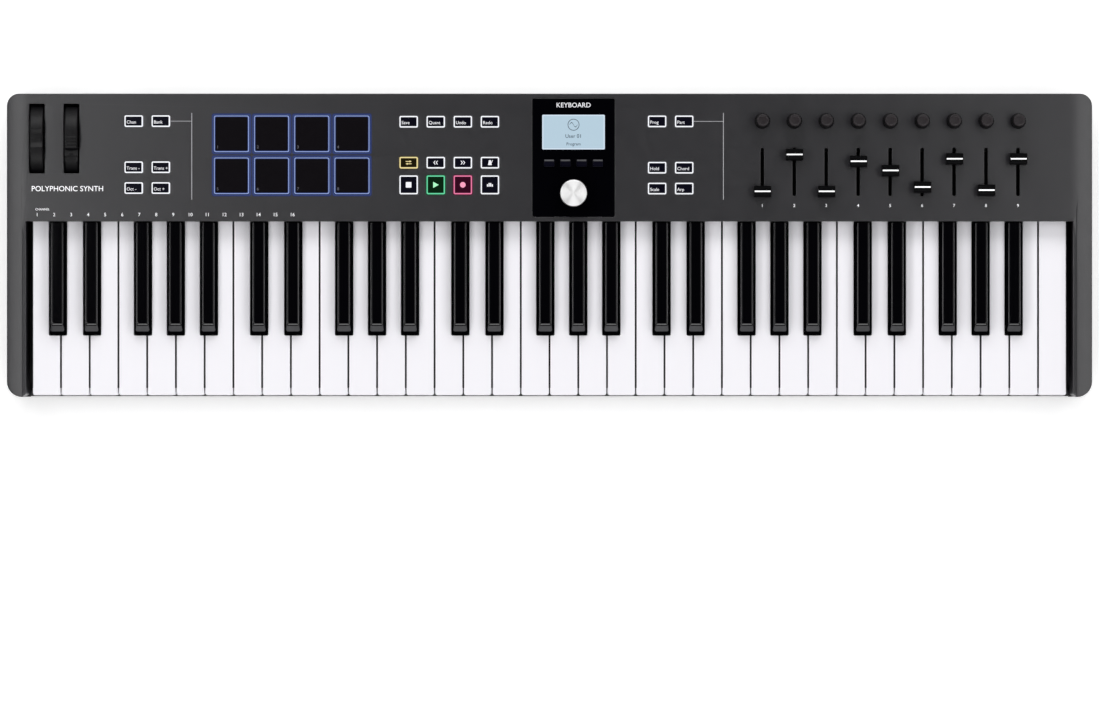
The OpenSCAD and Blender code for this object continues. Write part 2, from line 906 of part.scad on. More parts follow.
module screen_buttons() {
    flange_top = panel_z + cover_rise - cover_t - flange_gap;
    color("#17171a")
        for (i = [0:3]) {
            at = screen_button_at(i);
            rounded_block(
                at, [screen_button_w, screen_button_d],
                [flange_top - eps, panel_z + cover_rise + 1.5], 0.6
            );
            rounded_block(
                at, [screen_button_w + 2.4, screen_button_d + 2.4],
                [flange_top - flange_t, flange_top], 0.6
            );
            post(at, 1.5, [board_top + 1.2, flange_top - flange_t + eps]);
        }
}

module drum_pads() {
    flange_top = panel_under - flange_gap;
    color("#131316")
        for (i = [0:3], j = [0, 1]) {
            rounded_block(
                pad_at(i, j), [pad_w, pad_d], [flange_top - eps, panel_z + pad_rise], PAD_R
            );
            rounded_block(
                pad_at(i, j), [pad_w + 2.6, pad_d + 2.6], [flange_top - flange_t, flange_top], PAD_R
            );
        }
}

module encoder_body(at, top, bore_from) {
    difference() {
        union() {
            rounded_block(at, [11.6, 11], [board_top, board_top + 5.4], 0.5);
            post(at, bush_r, [board_top + 5, top]);
        }
        post(at, shaft_r + run_fit, [bore_from, top + 1]);
    }
}

module encoder_bodies() {
    color("#9a9da1") {
        for (i = [0:strip_count - 1])
            encoder_body([strip_at(i), knob_y], bush_top, board_top + 0.8);
        encoder_body([cover_x, main_knob_y], panel_z + 0.9, board_z);
    }
}

module encoder_plunger() {
    color("#d8d6cf")
        post([cover_x, main_knob_y], shaft_r - 0.3, [board_top - 1.2, board_top + 2]);
}

module main_knob() {
    at = [cover_x, main_knob_y];
    foot = panel_z + 1.4;
    top = panel_z + main_knob_rise;
    color("#c9cbce") {
        difference() {
            post(at, main_knob_d / 2, [foot, top]);
            post(at, bush_r + 1, [foot - 1, foot + 1.4]);
        }
        post(at, shaft_r, [board_top + 2.1, foot + 2]);
    }
}

module knob(i) {
    top = panel_z + knob_rise;
    color("#232327")
        translate([strip_at(i), knob_y, 0]) {
            translate([0, 0, knob_foot])
                cylinder(d1 = knob_d, d2 = knob_top_d, h = top - knob_foot);
            translate([0, 0, board_top + 1.2])
                cylinder(r = shaft_r, h = knob_foot + 1 - board_top - 1.2);
        }
}

module fader_bodies() {
    color("#9a9da1")
        for (i = [0:strip_count - 1])
            difference() {
                span(
                    [strip_at(i) - 4.2, strip_at(i) + 4.2],
                    [fader_min_y - 5.6, fader_min_y + fader_travel + 5.6],
                    [board_top, board_top + 5.2]
                );
                span(
                    [strip_at(i) - 1.2, strip_at(i) + 1.2],
                    [fader_min_y - 2.8, fader_min_y + fader_travel + 2.8],
                    [board_top + 1, board_top + 6]
                );
            }
}

module fader(i) {
    y = fader_min_y + fader_rest[i];
    top = panel_z + fader_rise;
    half = fader_d / 2;
    color("#17171a")
        translate([strip_at(i), y, 0]) {
            along_x([-fader_w / 2, fader_w / 2])
                polygon([
                    [-half, fader_foot], [half, fader_foot], [half - 0.5, top],
                    [half - 1.8, top], [0.9, top - 1.6], [-0.9, top - 1.6],
                    [1.8 - half, top], [0.5 - half, top]
                ]);
            span([-0.7, 0.7], [-2, 2], [board_top + 1.6, fader_foot + 1]);
        }
}

// ---------- sockets ----------

module pedal_jack() {
    color("#2a2a2c")
        difference() {
            union() {
                span(
                    [jack_x - 6, jack_x + 6], [half_d - 29, half_d - wall - 0.2],
                    [jack_z - 6, jack_z + 6]
                );
                rod_y(jack_x, jack_z, 4.5, [half_d - wall - 1, half_d - 0.2]);
            }
            rod_y(jack_x, jack_z, jack_bore_d / 2, [half_d - 24.2, half_d + 1]);
        }
}

module midi_socket() {
    face_y = half_d - 5.6;
    color("#2a2a2c") {
        difference() {
            union() {
                span(
                    [midi_x - 9, midi_x + 9], [half_d - 17, half_d - wall - 0.2],
                    [midi_z - 9, board_z - 0.1]
                );
                rod_y(midi_x, midi_z, 6.4, [half_d - wall - 1, half_d - 0.2]);
            }
            rod_y(midi_x, midi_z, 5.6, [face_y, half_d + 1]);
            for (a = [-90:45:90])
                rod_y(midi_x + 3.6 * sin(a), midi_z - 3.6 * cos(a), 0.9, [face_y - 7, face_y + 1]);
        }
    }
}

module usb_socket() {
    y = [half_d - 8, half_d - 0.2];
    color("#9a9da1") {
        difference() {
            translate([usb_x, 0, 0])
                along_y(y)
                    translate([0, usb_z])
                        rounded(8.94, 3.2, 1.5);
            translate([usb_x, 0, 0])
                along_y([y[0] + 1, y[1] + 1])
                    translate([0, usb_z])
                        rounded(8.34, 2.6, 1.25);
        }
        span([usb_x - 3.3, usb_x + 3.3], [y[0] + 0.5, y[1] - 0.8], [usb_z - 0.35, usb_z + 0.35]);
    }
}

// ---------- nodes ----------

bottom_case();
top_case();
end_cheeks();
keybed_chassis();
key_contact_board();
key_domes();
key_felts();
wheel_bracket();
display_cover();
display_module();
main_board();
control_board();
encoder_bodies();
fader_bodies();
pedal_jack();
midi_socket();
usb_socket();
rubber_feet();
case_screws();
for (n = [0:6])
    white_keys(n);
for (b = [0:4])
    black_keys(b);
pitch_wheel();
mod_wheel();
encoder_plunger();
main_knob();
drum_pads();
left_buttons();
edit_buttons();
loop_buttons();
transport_buttons();
screen_buttons();
right_buttons();
for (i = [0:strip_count - 1])
    knob(i);
for (i = [0:strip_count - 1])
    fader(i);
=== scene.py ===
import math

import bmesh
import bpy
from mathutils import Matrix, Vector


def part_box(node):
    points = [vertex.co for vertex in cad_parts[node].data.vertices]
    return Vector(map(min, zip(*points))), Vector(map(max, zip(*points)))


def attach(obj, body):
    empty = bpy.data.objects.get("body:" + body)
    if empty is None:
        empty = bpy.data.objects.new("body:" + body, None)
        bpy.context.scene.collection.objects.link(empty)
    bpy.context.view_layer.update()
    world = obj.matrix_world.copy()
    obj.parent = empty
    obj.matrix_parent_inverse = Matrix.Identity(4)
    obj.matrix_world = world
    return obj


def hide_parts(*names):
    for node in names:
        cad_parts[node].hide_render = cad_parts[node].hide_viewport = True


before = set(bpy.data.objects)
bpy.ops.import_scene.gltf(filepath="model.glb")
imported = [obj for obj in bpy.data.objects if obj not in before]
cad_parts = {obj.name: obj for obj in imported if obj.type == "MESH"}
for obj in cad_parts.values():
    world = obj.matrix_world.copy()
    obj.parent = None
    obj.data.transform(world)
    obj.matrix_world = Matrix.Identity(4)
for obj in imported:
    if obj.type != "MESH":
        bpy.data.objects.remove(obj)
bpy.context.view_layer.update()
scene = bpy.context.scene

MM = 0.001  # the meshes are drawn in millimetres and scaled at the end
MICRON = 0.000001  # depths of grain, in metres
CASE = "case"


# --- reading the frame

class Box:
    """The box round some points, in millimetres."""

    def __init__(self, points):
        self.x0, self.y0, self.z0 = (min(p[i] for p in points) for i in range(3))
        self.x1, self.y1, self.z1 = (max(p[i] for p in points) for i in range(3))
        self.x = (self.x0 + self.x1) / 2
        self.y = (self.y0 + self.y1) / 2


def node_box(node):
    return Box([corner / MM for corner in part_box(node)])


def solids(node):
    """The points of each separate solid of a CAD node, from left to right, then front to rear."""
    bm = bmesh.new()
    bm.from_mesh(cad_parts[node].data)
    bmesh.ops.remove_doubles(bm, verts=bm.verts, dist=1e-6)
    for v in bm.verts:
        v.tag = False
    found = []
    for start in bm.verts:
        if start.tag:
            continue
        start.tag = True
        todo = [start]
        points = []
        while todo:
            v = todo.pop()
            points.append(v.co / MM)
            for edge in v.link_edges:
                other = edge.other_vert(v)
                if not other.tag:
                    other.tag = True
                    todo.append(other)
        found.append(points)
    bm.free()
    return sorted(found, key=lambda pts: (round(Box(pts).x, 1), Box(pts).y))


# --- outlines, as [x, y] points in millimetres, anticlockwise

def arc(x, y, r, start, end, steps):
    angles = [math.radians(start + (end - start) * i / steps) for i in range(steps + 1)]
    return [(x + r * math.cos(a), y + r * math.sin(a)) for a in angles]


def rounded_rect(x, y, w, d, r, steps=5):
    points = []
    for sx, sy, start in ((1, 1, 0), (-1, 1, 90), (-1, -1, 180), (1, -1, 270)):
        points += arc(x + sx * (w / 2 - r), y + sy * (d / 2 - r), r, start, start + 90, steps)
    return points


def circle(x, y, r, steps=32):
    return arc(x, y, r, 0, 360 - 360 / steps, steps - 1)


def rounded_polygon(corners, steps=5, cyclic=True):
    """An outline whose corners are (x, y, radius)."""
    points = []
    count = len(corners)
    for i, (x, y, r) in enumerate(corners):
        at = Vector((x, y))
        if r == 0 or (not cyclic and i in (0, count - 1)):
            points.append((x, y))
            continue
        back = (Vector(corners[i - 1][:2]) - at).normalized()
        ahead = (Vector(corners[(i + 1) % count][:2]) - at).normalized()
        half = back.angle(ahead) / 2
        centre = at + (back + ahead).normalized() * r / math.sin(half)
        first = at + back * r / math.tan(half) - centre
        turn = (at + ahead * r / math.tan(half) - centre).angle_signed(first)
        for k in range(steps + 1):
            spoke = first.copy()
            spoke.rotate(Matrix.Rotation(turn * k / steps, 2))
            points.append(tuple(centre + spoke))
    return points


def inset(points, by, cyclic=True):
    """The outline moved inwards, or outwards where by is negative."""
    out = []
    count = len(points)
    for i, p in enumerate(points):
        before = points[i - 1] if cyclic or i else None
        after = points[(i + 1) % count] if cyclic or i < count - 1 else None
        normals = []
        for a, b in ((before, p), (p, after)):
            if a is not None and b is not None:
                along = Vector(b) - Vector(a)
                normals.append(Vector((-along.y, along.x)).normalized())
        n1, n2 = normals[0], normals[-1]
        out.append(tuple(Vector(p) + (n1 + n2) * by / max(0.3, 1 + n1.dot(n2))))
    return out


def ring(points, z):
    """An outline at a height, or at a height worked out from each point."""
    return [(x, y, z(x, y) if callable(z) else z) for x, y in points]


def fillet(points, z_top, r, steps=3):
    """Rings that round an outline's upper edge."""
    rings = []
    for k in range(steps + 1):
        a = math.pi / 2 * k / steps
        rings.append(ring(inset(points, r * (1 - math.cos(a))), z_top - r + r * math.sin(a)))
    return rings


def block(points, z0, z1, r=0.4, foot=0.15):
    """Rings of an upright solid with a rounded upper edge and a small chamfer at its foot."""
    return [ring(inset(points, foot), z0), ring(points, z0 + foot)] + fillet(points, z1, r)


# --- meshes

def new_object(name, data):
    made = bpy.data.objects.new(name, data)
    scene.collection.objects.link(made)
    return made


def final_mesh(holder):
    """An object's mesh with its modifiers applied, or a curve's or text's mesh."""
    bpy.context.view_layer.update()
    return bpy.data.meshes.new_from_object(holder.evaluated_get(bpy.context.evaluated_depsgraph_get()))


class Piece:
    """One object being made: closed solids, each in one of the piece's looks, or else in the first."""

    def __init__(self, name, *looks):
        self.name = name
        self.looks = looks
        self.bm = bmesh.new()

    def slot(self, look):
        return self.looks.index(look) if look else 0

    def face(self, verts, slot):
        made = self.bm.faces.new(verts)
        made.material_index = slot

    def loft(self, rings, look=None, closed=False):
        """Joins rings of points into a closed solid."""
        slot = self.slot(look)
        rows = [[self.bm.verts.new(p) for p in points] for points in rings]
        count = len(rows[0])
        pairs = list(zip(rows, rows[1:]))
        if closed:
            pairs.append((rows[-1], rows[0]))
        else:
            self.face(rows[0][::-1], slot)
            self.face(rows[-1], slot)
        for a, b in pairs:
            for i in range(count):
                j = (i + 1) % count
                self.face((a[i], a[j], b[j], b[i]), slot)

    def lathe(self, x, y, profile, look=None, steps=48, ripple=None, closed=False):
        """A turned solid. profile is (radius, z), and ripple(angle, z) changes the radius."""
        rings = []
        for r, z in profile:
            points = []
            for i in range(steps):
                a = 2 * math.pi * i / steps
                grown = r + (ripple(a, z) if ripple else 0)
                points.append((x + grown * math.cos(a), y + grown * math.sin(a), z))
            rings.append(points)
        self.loft(rings, look, closed)

    def add(self, mesh, look=None, place=(0, 0, 0)):
        """Takes in another mesh in millimetres, moved to a place."""
        before = set(self.bm.faces)
        mesh.transform(Matrix.Translation(place))
        self.bm.from_mesh(mesh)
        bpy.data.meshes.remove(mesh)
        for made in self.bm.faces:
            if made not in before:
                made.material_index = self.slot(look)

    def plate(self, outline, holes, z0, z1, edge=0.4, look=None):
        """A flat plate with holes, its edges rounded all round."""
        curve = bpy.data.curves.new("plate", "CURVE")
        curve.dimensions = "2D"
        curve.fill_mode = "BOTH"
        curve.extrude = (z1 - z0) / 2 - edge
        curve.bevel_depth = edge
        curve.bevel_resolution = 1
        for path in [inset(outline, edge)] + [inset(hole, -edge) for hole in holes]:
            spline = curve.splines.new("POLY")
            spline.points.add(len(path) - 1)
            for point, (px, py) in zip(spline.points, path):
                point.co = (px, py, 0, 1)
            spline.use_cyclic_u = True
        self.add(curve_mesh(curve), look, (0, 0, (z0 + z1) / 2))

    def text(self, words, x, y, z, size, look=None, align="CENTER"):
        """Thin raised print."""
        curve = bpy.data.curves.new("print", "FONT")
        curve.body = words
        curve.size = size
        curve.align_x = align
        curve.align_y = "CENTER"
        curve.extrude = 0.02
        curve.offset = size * 0.005  # a bolder stroke than the plain font has
        curve.resolution_u = 3
        self.add(curve_mesh(curve), look, (x, y, z))

    def flat(self, points, z, look=None, thick=0.04):
        """A thin printed or inlaid shape."""
        self.loft([ring(points, z), ring(points, z + thick)], look)

    def along_x(self, profile, x0, x1, look=None):
        """A side outline, drawn as (y, z), carried along X."""
        self.loft([[(x, y, z) for y, z in profile] for x in (x0, x1)], look)

    def slab(self, x, y, w, d, corner, z0, z1, edge, look=None, steps=5):
        """An upright block with rounded corners and a rounded upper edge."""
        self.loft(block(rounded_rect(x, y, w, d, corner, steps), z0, z1, edge), look)

    def face_rear(self, x=0, z=0):
        """Turns what was drawn level to the rear: its up becomes rearwards and its middle (x, z)."""
        turn = Matrix(((-1, 0, 0, x), (0, 0, 1, 0), (0, 1, 0, z), (0, 0, 0, 1)))
        self.bm.transform(turn)

    def bend(self, move):
        """Moves every point by a rule."""
        for v in self.bm.verts:
            v.co = Vector(move(*v.co))

    def split_x(self, places):
        """Draws a line across every face at these places."""
        for place in places:
            geometry = self.bm.verts[:] + self.bm.edges[:] + self.bm.faces[:]
            bmesh.ops.bisect_plane(self.bm, geom=geometry, plane_co=(place, 0, 0), plane_no=(1, 0, 0))

    def take_mesh(self):
        """The piece's faces as a mesh, which empties the piece."""
        mesh = bpy.data.meshes.new(self.name)
        self.bm.to_mesh(mesh)
        self.bm.free()
        return mesh

    def finish(self, body, slot, *replaced, sharp=32):
        """Makes the object, which rides on body and stands for the replaced CAD nodes."""
        bmesh.ops.remove_doubles(self.bm, verts=self.bm.verts, dist=0.0005)
        bmesh.ops.recalc_face_normals(self.bm, faces=self.bm.faces)
        mesh = self.take_mesh()
        mesh.transform(Matrix.Scale(MM, 4))
        mesh.shade_smooth()
        mesh.set_sharp_from_angle(angle=math.radians(sharp))
        for look in self.looks:
            mesh.materials.append(LOOKS[look])
        piece = new_object(self.name, mesh)
        weighted = piece.modifiers.new("weighted_normals", "WEIGHTED_NORMAL")
        weighted.keep_sharp = True
        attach(piece, body)
        if replaced:
            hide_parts(*replaced)


def curve_mesh(curve):
    """The mesh of a curve or text, which is then removed."""
    holder = new_object("holder", curve)
    mesh = final_mesh(holder)
    bpy.data.objects.remove(holder)
    return mesh


def cut(piece, cutter):
    """Cuts the solids of one piece out of another piece."""
    objects = []
    for part in (piece, cutter):
        bmesh.ops.recalc_face_normals(part.bm, faces=part.bm.faces)
        objects.append(new_object(part.name, part.take_mesh()))
    modifier = objects[0].modifiers.new("cut", "BOOLEAN")
    modifier.object = objects[1]
    modifier.solver = "EXACT"
    result = final_mesh(objects[0])
    piece.bm = bmesh.new()
    piece.bm.from_mesh(result)
    bpy.data.meshes.remove(result)
    for made in objects:
        bpy.data.objects.remove(made)


# --- materials

LOOKS = {}  # every material, by name


class Nodes:
    """A material with a Principled shader and short ways to feed it."""

    def __init__(self, name, base, roughness, metallic=0.0):
        LOOKS[name] = bpy.data.materials.new(name)
        LOOKS[name].use_nodes = True
        self.tree = LOOKS[name].node_tree
        self.shader = self.tree.nodes["Principled BSDF"]
        self.base = base
        self.roughness = roughness
        self.set(Base_Color=(*base, 1), Roughness=roughness, Metallic=metallic)
        self.coordinates = self.tree.nodes.new("ShaderNodeTexCoord").outputs["Object"]

    def feed(self, node, inputs):
        """Sets a node's inputs to values or joins them to other nodes' outputs."""
        for name, value in inputs.items():
            target = node.inputs[name.replace("_", " ")]
            if isinstance(value, bpy.types.NodeSocket):
                self.tree.links.new(value, target)
            else:
                target.default_value = value

    def set(self, **inputs):
        self.feed(self.shader, inputs)

    def node(self, kind, **inputs):
        made = self.tree.nodes.new("ShaderNode" + kind)
        self.feed(made, inputs)
        return made

    def noise(self, scale, detail=3.0, stretch=(1, 1, 1)):
        place = self.node("Mapping", Scale=stretch, Vector=self.coordinates).outputs["Vector"]
        return self.node("TexNoise", Scale=scale, Detail=detail, Vector=place).outputs["Fac"]

    def remap(self, value, low, high, start=0.3, end=0.7):
        node = self.node("MapRange", From_Min=start, From_Max=end, To_Min=low, To_Max=high, Value=value)
        return node.outputs["Result"]

    def mix(self, factor, first, second):
        node = self.node("Mix")
        node.data_type = "RGBA"
        first, second = ((*c, 1) if isinstance(c, tuple) else c for c in (first, second))
        self.feed(node, {"Factor": factor, "A": first, "B": second})
        return node.outputs["Result"]

    def mottle(self, scale, amount):
        """Slow changes of tone."""
        darker = tuple(c * (1 - amount) for c in self.base)
        lighter = tuple(min(1, c * (1 + amount)) for c in self.base)
        tone = self.mix(self.remap(self.noise(scale), 0, 1), darker, lighter)
        self.set(Base_Color=tone)
        return tone

    def vary_roughness(self, scale, amount, stretch=(1, 1, 1)):
        low, high = max(0.02, self.roughness - amount), self.roughness + amount
        self.set(Roughness=self.remap(self.noise(scale, 4, stretch), low, high))

    def bump(self, scale, distance, strength=1.0, detail=2.0, stretch=(1, 1, 1)):
        height = self.noise(scale, detail, stretch)
        node = self.node("Bump", Distance=distance, Strength=strength, Height=height)
        self.set(Normal=node.outputs["Normal"])

    def wear(self, tone, amount, colour):
        """Paler edges, where hands and bags rub."""
        edge = self.node("NewGeometry").outputs["Pointiness"]
        self.set(Base_Color=self.mix(self.remap(edge, 0, amount, 0.52, 0.62), tone, colour))

    def glow(self, colour, strength):
        self.set(Emission_Color=(*colour, 1), Emission_Strength=strength)


def moulded(name, base, roughness, grain, depth, spread, coat=0.0, wear=0.0, shine=0.5):
    """Moulded plastic or rubber: mottled, with fine grain (depth in microns) and rubbed edges."""
    nodes = Nodes(name, base, roughness)
    tone = nodes.mottle(45, spread)
    nodes.vary_roughness(120, roughness * 0.04)
    nodes.bump(grain, depth * MICRON)
    if wear:
        nodes.wear(tone, wear, tuple(min(1, c * 2.2 + 0.01) for c in base))
    nodes.set(Specular_IOR_Level=shine, Coat_Weight=coat, Coat_Roughness=0.08)


def metal(name, base, roughness, stretch=(1, 1, 1), scale=900):
    """Metal with grain, which runs in lines where stretch differs between the axes."""
    nodes = Nodes(name, base, roughness, metallic=1.0)
    nodes.mottle(160, 0.05)
    nodes.vary_roughness(scale, roughness * 0.3, stretch)
    nodes.bump(scale, 10 * MICRON, 1.0, 3, stretch)


def turned_metal(name, base, roughness):
    """Metal faced on a lathe, so its shine runs in two wedges."""
    nodes = Nodes(name, base, roughness, metallic=0.7)
    nodes.mottle(90, 0.01)
    nodes.vary_roughness(60, roughness * 0.1)
    tangent = nodes.node("Tangent")
    tangent.direction_type = "RADIAL"
    tangent.axis = "Z"
    nodes.set(Tangent=tangent.outputs["Tangent"], Anisotropic=0.9, Anisotropic_Rotation=0.25)


def lit(name, colour, strength, body=(0.5, 0.5, 0.5), shine=0.3):
    """A translucent plastic lit from inside; print, lines and films made with it carry a painted glow
    instead.
    """
    nodes = Nodes(name, body, 0.35)
    nodes.set(Specular_IOR_Level=shine)
    nodes.mottle(300, 0.04)
    nodes.vary_roughness(600, 0.05)
    nodes.bump(2400, 10 * MICRON)
    nodes.glow(colour, strength)


def felt(name, base):
    """Cut felt, with a soft sheen."""
    nodes = Nodes(name, base, 0.95)
    nodes.mottle(900, 0.25)
    nodes.bump(3000, 200 * MICRON, 1.0, 4)
    nodes.set(Sheen_Weight=0.5)


def circuit_board(name, base):
    """A lacquered board with faint traces."""
    nodes = Nodes(name, base, 0.35)
    nodes.mottle(70, 0.12)
    nodes.vary_roughness(300, 0.08)
    nodes.bump(420, 60 * MICRON, 1.0, 1, (1, 4, 1))


moulded("case_plastic", (0.0065, 0.006, 0.0085), 0.4, 2300, 40, 0.03, wear=0.3, shine=0.8)
moulded("base_plastic", (0.014, 0.0135, 0.016), 0.55, 2000, 50, 0.05, wear=0.4)
moulded("white_key", (0.885, 0.872, 0.912), 0.3, 900, 1, 0.001, coat=0.2)
# painted shade: the dark grey of a white key's sides, which are really as white as its top
moulded("white_key_painted_shade", (0.1, 0.097, 0.105), 0.5, 1200, 10, 0.03)
moulded("black_key", (0.0012, 0.0011, 0.0018), 0.1, 1500, 2, 0.1)
# satin grain, and a lighter grey that is painted light: the black key's front slope catching the studio
# light
moulded("black_key_satin_painted_light", (0.045, 0.045, 0.049), 0.5, 1400, 60, 0.25)
moulded("black_key_side", (0.0016, 0.0016, 0.0022), 0.6, 2400, 10, 0.1, shine=0.0)
moulded("wheel_rubber", (0.0022, 0.002, 0.0027), 0.4, 2800, 30, 0.1, shine=0.18)
moulded("pad_rubber", (0.0022, 0.0014, 0.0026), 0.5, 3200, 30, 0.08, shine=0.06)
moulded("button_face", (0.0015, 0.0014, 0.006), 0.35, 2600, 10, 0.05, shine=0.1)
moulded("knob_plastic", (0.010, 0.0068, 0.0085), 0.45, 3000, 30, 0.08, wear=0.3, shine=0.35)
# painted shade: a knob's sides are made much darker than its top, for the shade round them
moulded("knob_skirt_painted_shade", (0.0015, 0.0013, 0.0018), 0.5, 2600, 20, 0.08, shine=0.15)
moulded("fader_plastic", (0.001, 0.001, 0.0014), 0.45, 1800, 10, 0.06, shine=0.06)
# painted glow: a fader cap's white line is made to glow, though no lamp lights it
lit("fader_line_painted_glow", (0.9, 0.9, 0.92), 0.8, (0.6, 0.6, 0.6))
moulded("cover_gloss", (0.0008, 0.0008, 0.0015), 0.08, 600, 2, 0.1, coat=0.1, shine=0.2)
moulded("foot_rubber", (0.018, 0.018, 0.018), 0.85, 1500, 100, 0.1)
moulded("dark_plastic", (0.02, 0.02, 0.022), 0.45, 2000, 30, 0.08)
# the key domes' own grey rubber, also used as a painted highlight on the screen buttons' rear edges
moulded("dome_rubber_and_edge_highlight", (0.06, 0.06, 0.065), 0.7, 1800, 50, 0.1)
# painted glow: the panel's white print and grey lines glow faintly, though nothing lights them
lit("panel_print_painted_glow", (0.85, 0.85, 0.87), 0.55, (0.6, 0.6, 0.62))
lit("panel_line_painted_glow", (0.3, 0.3, 0.31), 0.3, (0.36, 0.36, 0.38))
moulded("pad_print", (0.1, 0.1, 0.13), 0.5, 2000, 10, 0.03)
metal("steel_frame", (0.55, 0.56, 0.58), 0.35, (1, 12, 12), 500)
metal("chassis_steel", (0.05, 0.05, 0.055), 0.5, (1, 12, 12), 500)
metal("screw_metal", (0.18, 0.18, 0.19), 0.35)
metal("bright_metal", (0.82, 0.82, 0.84), 0.22, (1, 8, 8), 700)
turned_metal("turned_metal", (1.0, 1.0, 1.0), 0.5)
circuit_board("circuit_board", (0.015, 0.09, 0.035))
felt("red_felt", (0.2, 0.03, 0.025))
lit("rim_white", (0.93, 0.95, 1.0), 0.7, (0.35, 0.35, 0.36))
lit("rim_yellow", (0.86, 0.72, 0.33), 0.95, (0.05, 0.04, 0.02))
lit("rim_green", (0.13, 0.72, 0.38), 0.85, (0.02, 0.08, 0.04))
lit("rim_pink", (0.88, 0.2, 0.38), 0.85, (0.1, 0.02, 0.04))
lit("rim_blue", (0.36, 0.47, 0.82), 0.85, (0.02, 0.03, 0.06))
lit("face_yellow", (0.05, 0.035, 0.0), 0.12, (0.004, 0.003, 0.001), 0.08)
lit("face_green", (0.0, 0.05, 0.012), 0.25, (0.001, 0.003, 0.001), 0.08)
lit("face_pink", (0.11, 0.0, 0.035), 0.25, (0.003, 0.001, 0.002), 0.08)
lit("screen_glow", (0.44, 0.58, 0.68), 1.0, (0.03, 0.035, 0.04))
lit("screen_edge", (0.62, 0.73, 0.84), 1.0, (0.03, 0.035, 0.04))
lit("mark_white", (0.9, 0.9, 0.95), 0.8, (0.2, 0.2, 0.2))
lit("pad_skirt", (0.08, 0.13, 0.6), 0.8, (0.01, 0.015, 0.06))
lit("mark_green", (0.45, 1.0, 0.6), 0.9, (0.02, 0.1, 0.04))
lit("mark_pink", (1.0, 0.38, 0.55), 0.9, (0.1, 0.02, 0.04))
lit("bleed_blue", (0.02, 0.045, 0.2), 0.8, (0.013, 0.013, 0.018))
lit("bleed_blue_faint", (0.012, 0.024, 0.1), 0.7, (0.0135, 0.0132, 0.0165))
lit("bleed_green", (0.01, 0.12, 0.04), 0.5, (0.012, 0.014, 0.013))
lit("bleed_pink", (0.14, 0.01, 0.05), 0.5, (0.014, 0.012, 0.014))
moulded("screen_ink", (0.02, 0.035, 0.06), 0.4, 1500, 10, 0.05)


# --- shared places

case = node_box("top_case")
cheeks = node_box("end_cheeks")
base = node_box("bottom_case")
board = node_box("control_board")
cover = node_box("display_cover")
FRONT = cheeks.y0
HALF_W = cheeks.x1
HALF_D = case.y1
END_CORNER = 12.5  # the case's corners from above: front, rear
REAR_CORNER = 10
PANEL_Z = case.z1
WALL = 2.4  # the case's wall
PANEL_UNDER = PANEL_Z - WALL
GAP = 0.4  # running gap round what moves
FLANGE = 1.3  # how far a button's hidden flange reaches past its cap
FLANGE_TOP = PANEL_UNDER - 0.3

WHITE_NODES = ["keys_c", "keys_d", "keys_e", "keys_f", "keys_g", "keys_a", "keys_b"]
BLACK_NODES = ["keys_c_sharp", "keys_d_sharp", "keys_f_sharp", "keys_g_sharp", "keys_a_sharp"]
white_keys = {node: solids(node) for node in WHITE_NODES}
black_keys = {node: solids(node) for node in BLACK_NODES}
first_white = Box(white_keys["keys_c"][0])
last_white = Box(white_keys["keys_c"][-1])
a_black = Box(black_keys["keys_c_sharp"][0])
BAY_HALF = last_white.x1 + 5  # half of the opening over the keys
PANEL_FRONT = a_black.y1 - 21.6  # front edge of the panel
HEAD_END = a_black.y0 - 1  # where a white key's wide head ends
KEY_TAIL = 33.5  # where a key's tail meets its hook
KEY_SIDE_Z = 30  # lower edge of the keys' sides
SKIRT_Z = 20.5  # lower edge of a white key's front
SKIRT_REAR = -116.4  # where that front's lower part ends
SIDE_SHADE_DEPTH = 0.35  # a white key's sides are painted dark grey, as painted shade for the gaps between keys, from this far below its top
HINGE_Y = 38  # the rail that the keys turn on
HINGE_Z = 33
PLUNGER_Y = -8  # a key's post over its rubber dome
PLUNGER_Z = 24.8
WHEEL_Y = node_box("pitch_wheel").y
SLOT_Y = 59.85  # middle of the fader slots
STRIPS = range(1, 10)


def cap_boxes(node):
    """The caps of a group of buttons or pads, as (x, y, width, depth)."""
    boxes = [Box(points) for points in solids(node)]
    return [(b.x, b.y, b.x1 - b.x0 - 2 * FLANGE, b.y1 - b.y0 - 2 * FLANGE) for b in boxes]


BUTTON_GROUPS = ["left_buttons", "right_buttons", "edit_buttons", "loop_buttons", "transport_buttons"]
button_caps = {node: cap_boxes(node) for node in BUTTON_GROUPS}
pad_caps = cap_boxes("drum_pads")
SCREEN_CAP = (8.3, 6)
screen_caps = [(Box(p).x, Box(p).y, *SCREEN_CAP) for p in solids("screen_buttons")]
SHAFT_HOLE = 4.9  # radius of the holes for the knobs' shafts
knob_boxes = [node_box(f"knob_{i}") for i in STRIPS]
fader_boxes = [node_box(f"fader_{i}") for i in STRIPS]
main_knob = node_box("main_knob")
jack = node_box("pedal_jack")
midi = node_box("midi_socket")
usb = node_box("usb_socket")
JACK_Z = (jack.z0 + jack.z1) / 2
MIDI_Z = 33.6
USB_Z = (usb.z0 + usb.z1) / 2


# --- case

CROWN_RUN = 20  # the panel rolls down over this length at each end
CROWN_DROP = 2.4
DRAFT = 1.6  # inward lean of the end walls
DRAFT_REACH = 13  # how far in from the ends that lean acts
CHEEK_ROLL = 5.5  # width of the cheeks' rolled inner edge
CHEEK_DROP = 1.6
CHEEK_FADE = 14  # the roll fades out over this length before the panel
SKIN = 0.45  # how far the walls reach into the panel plate


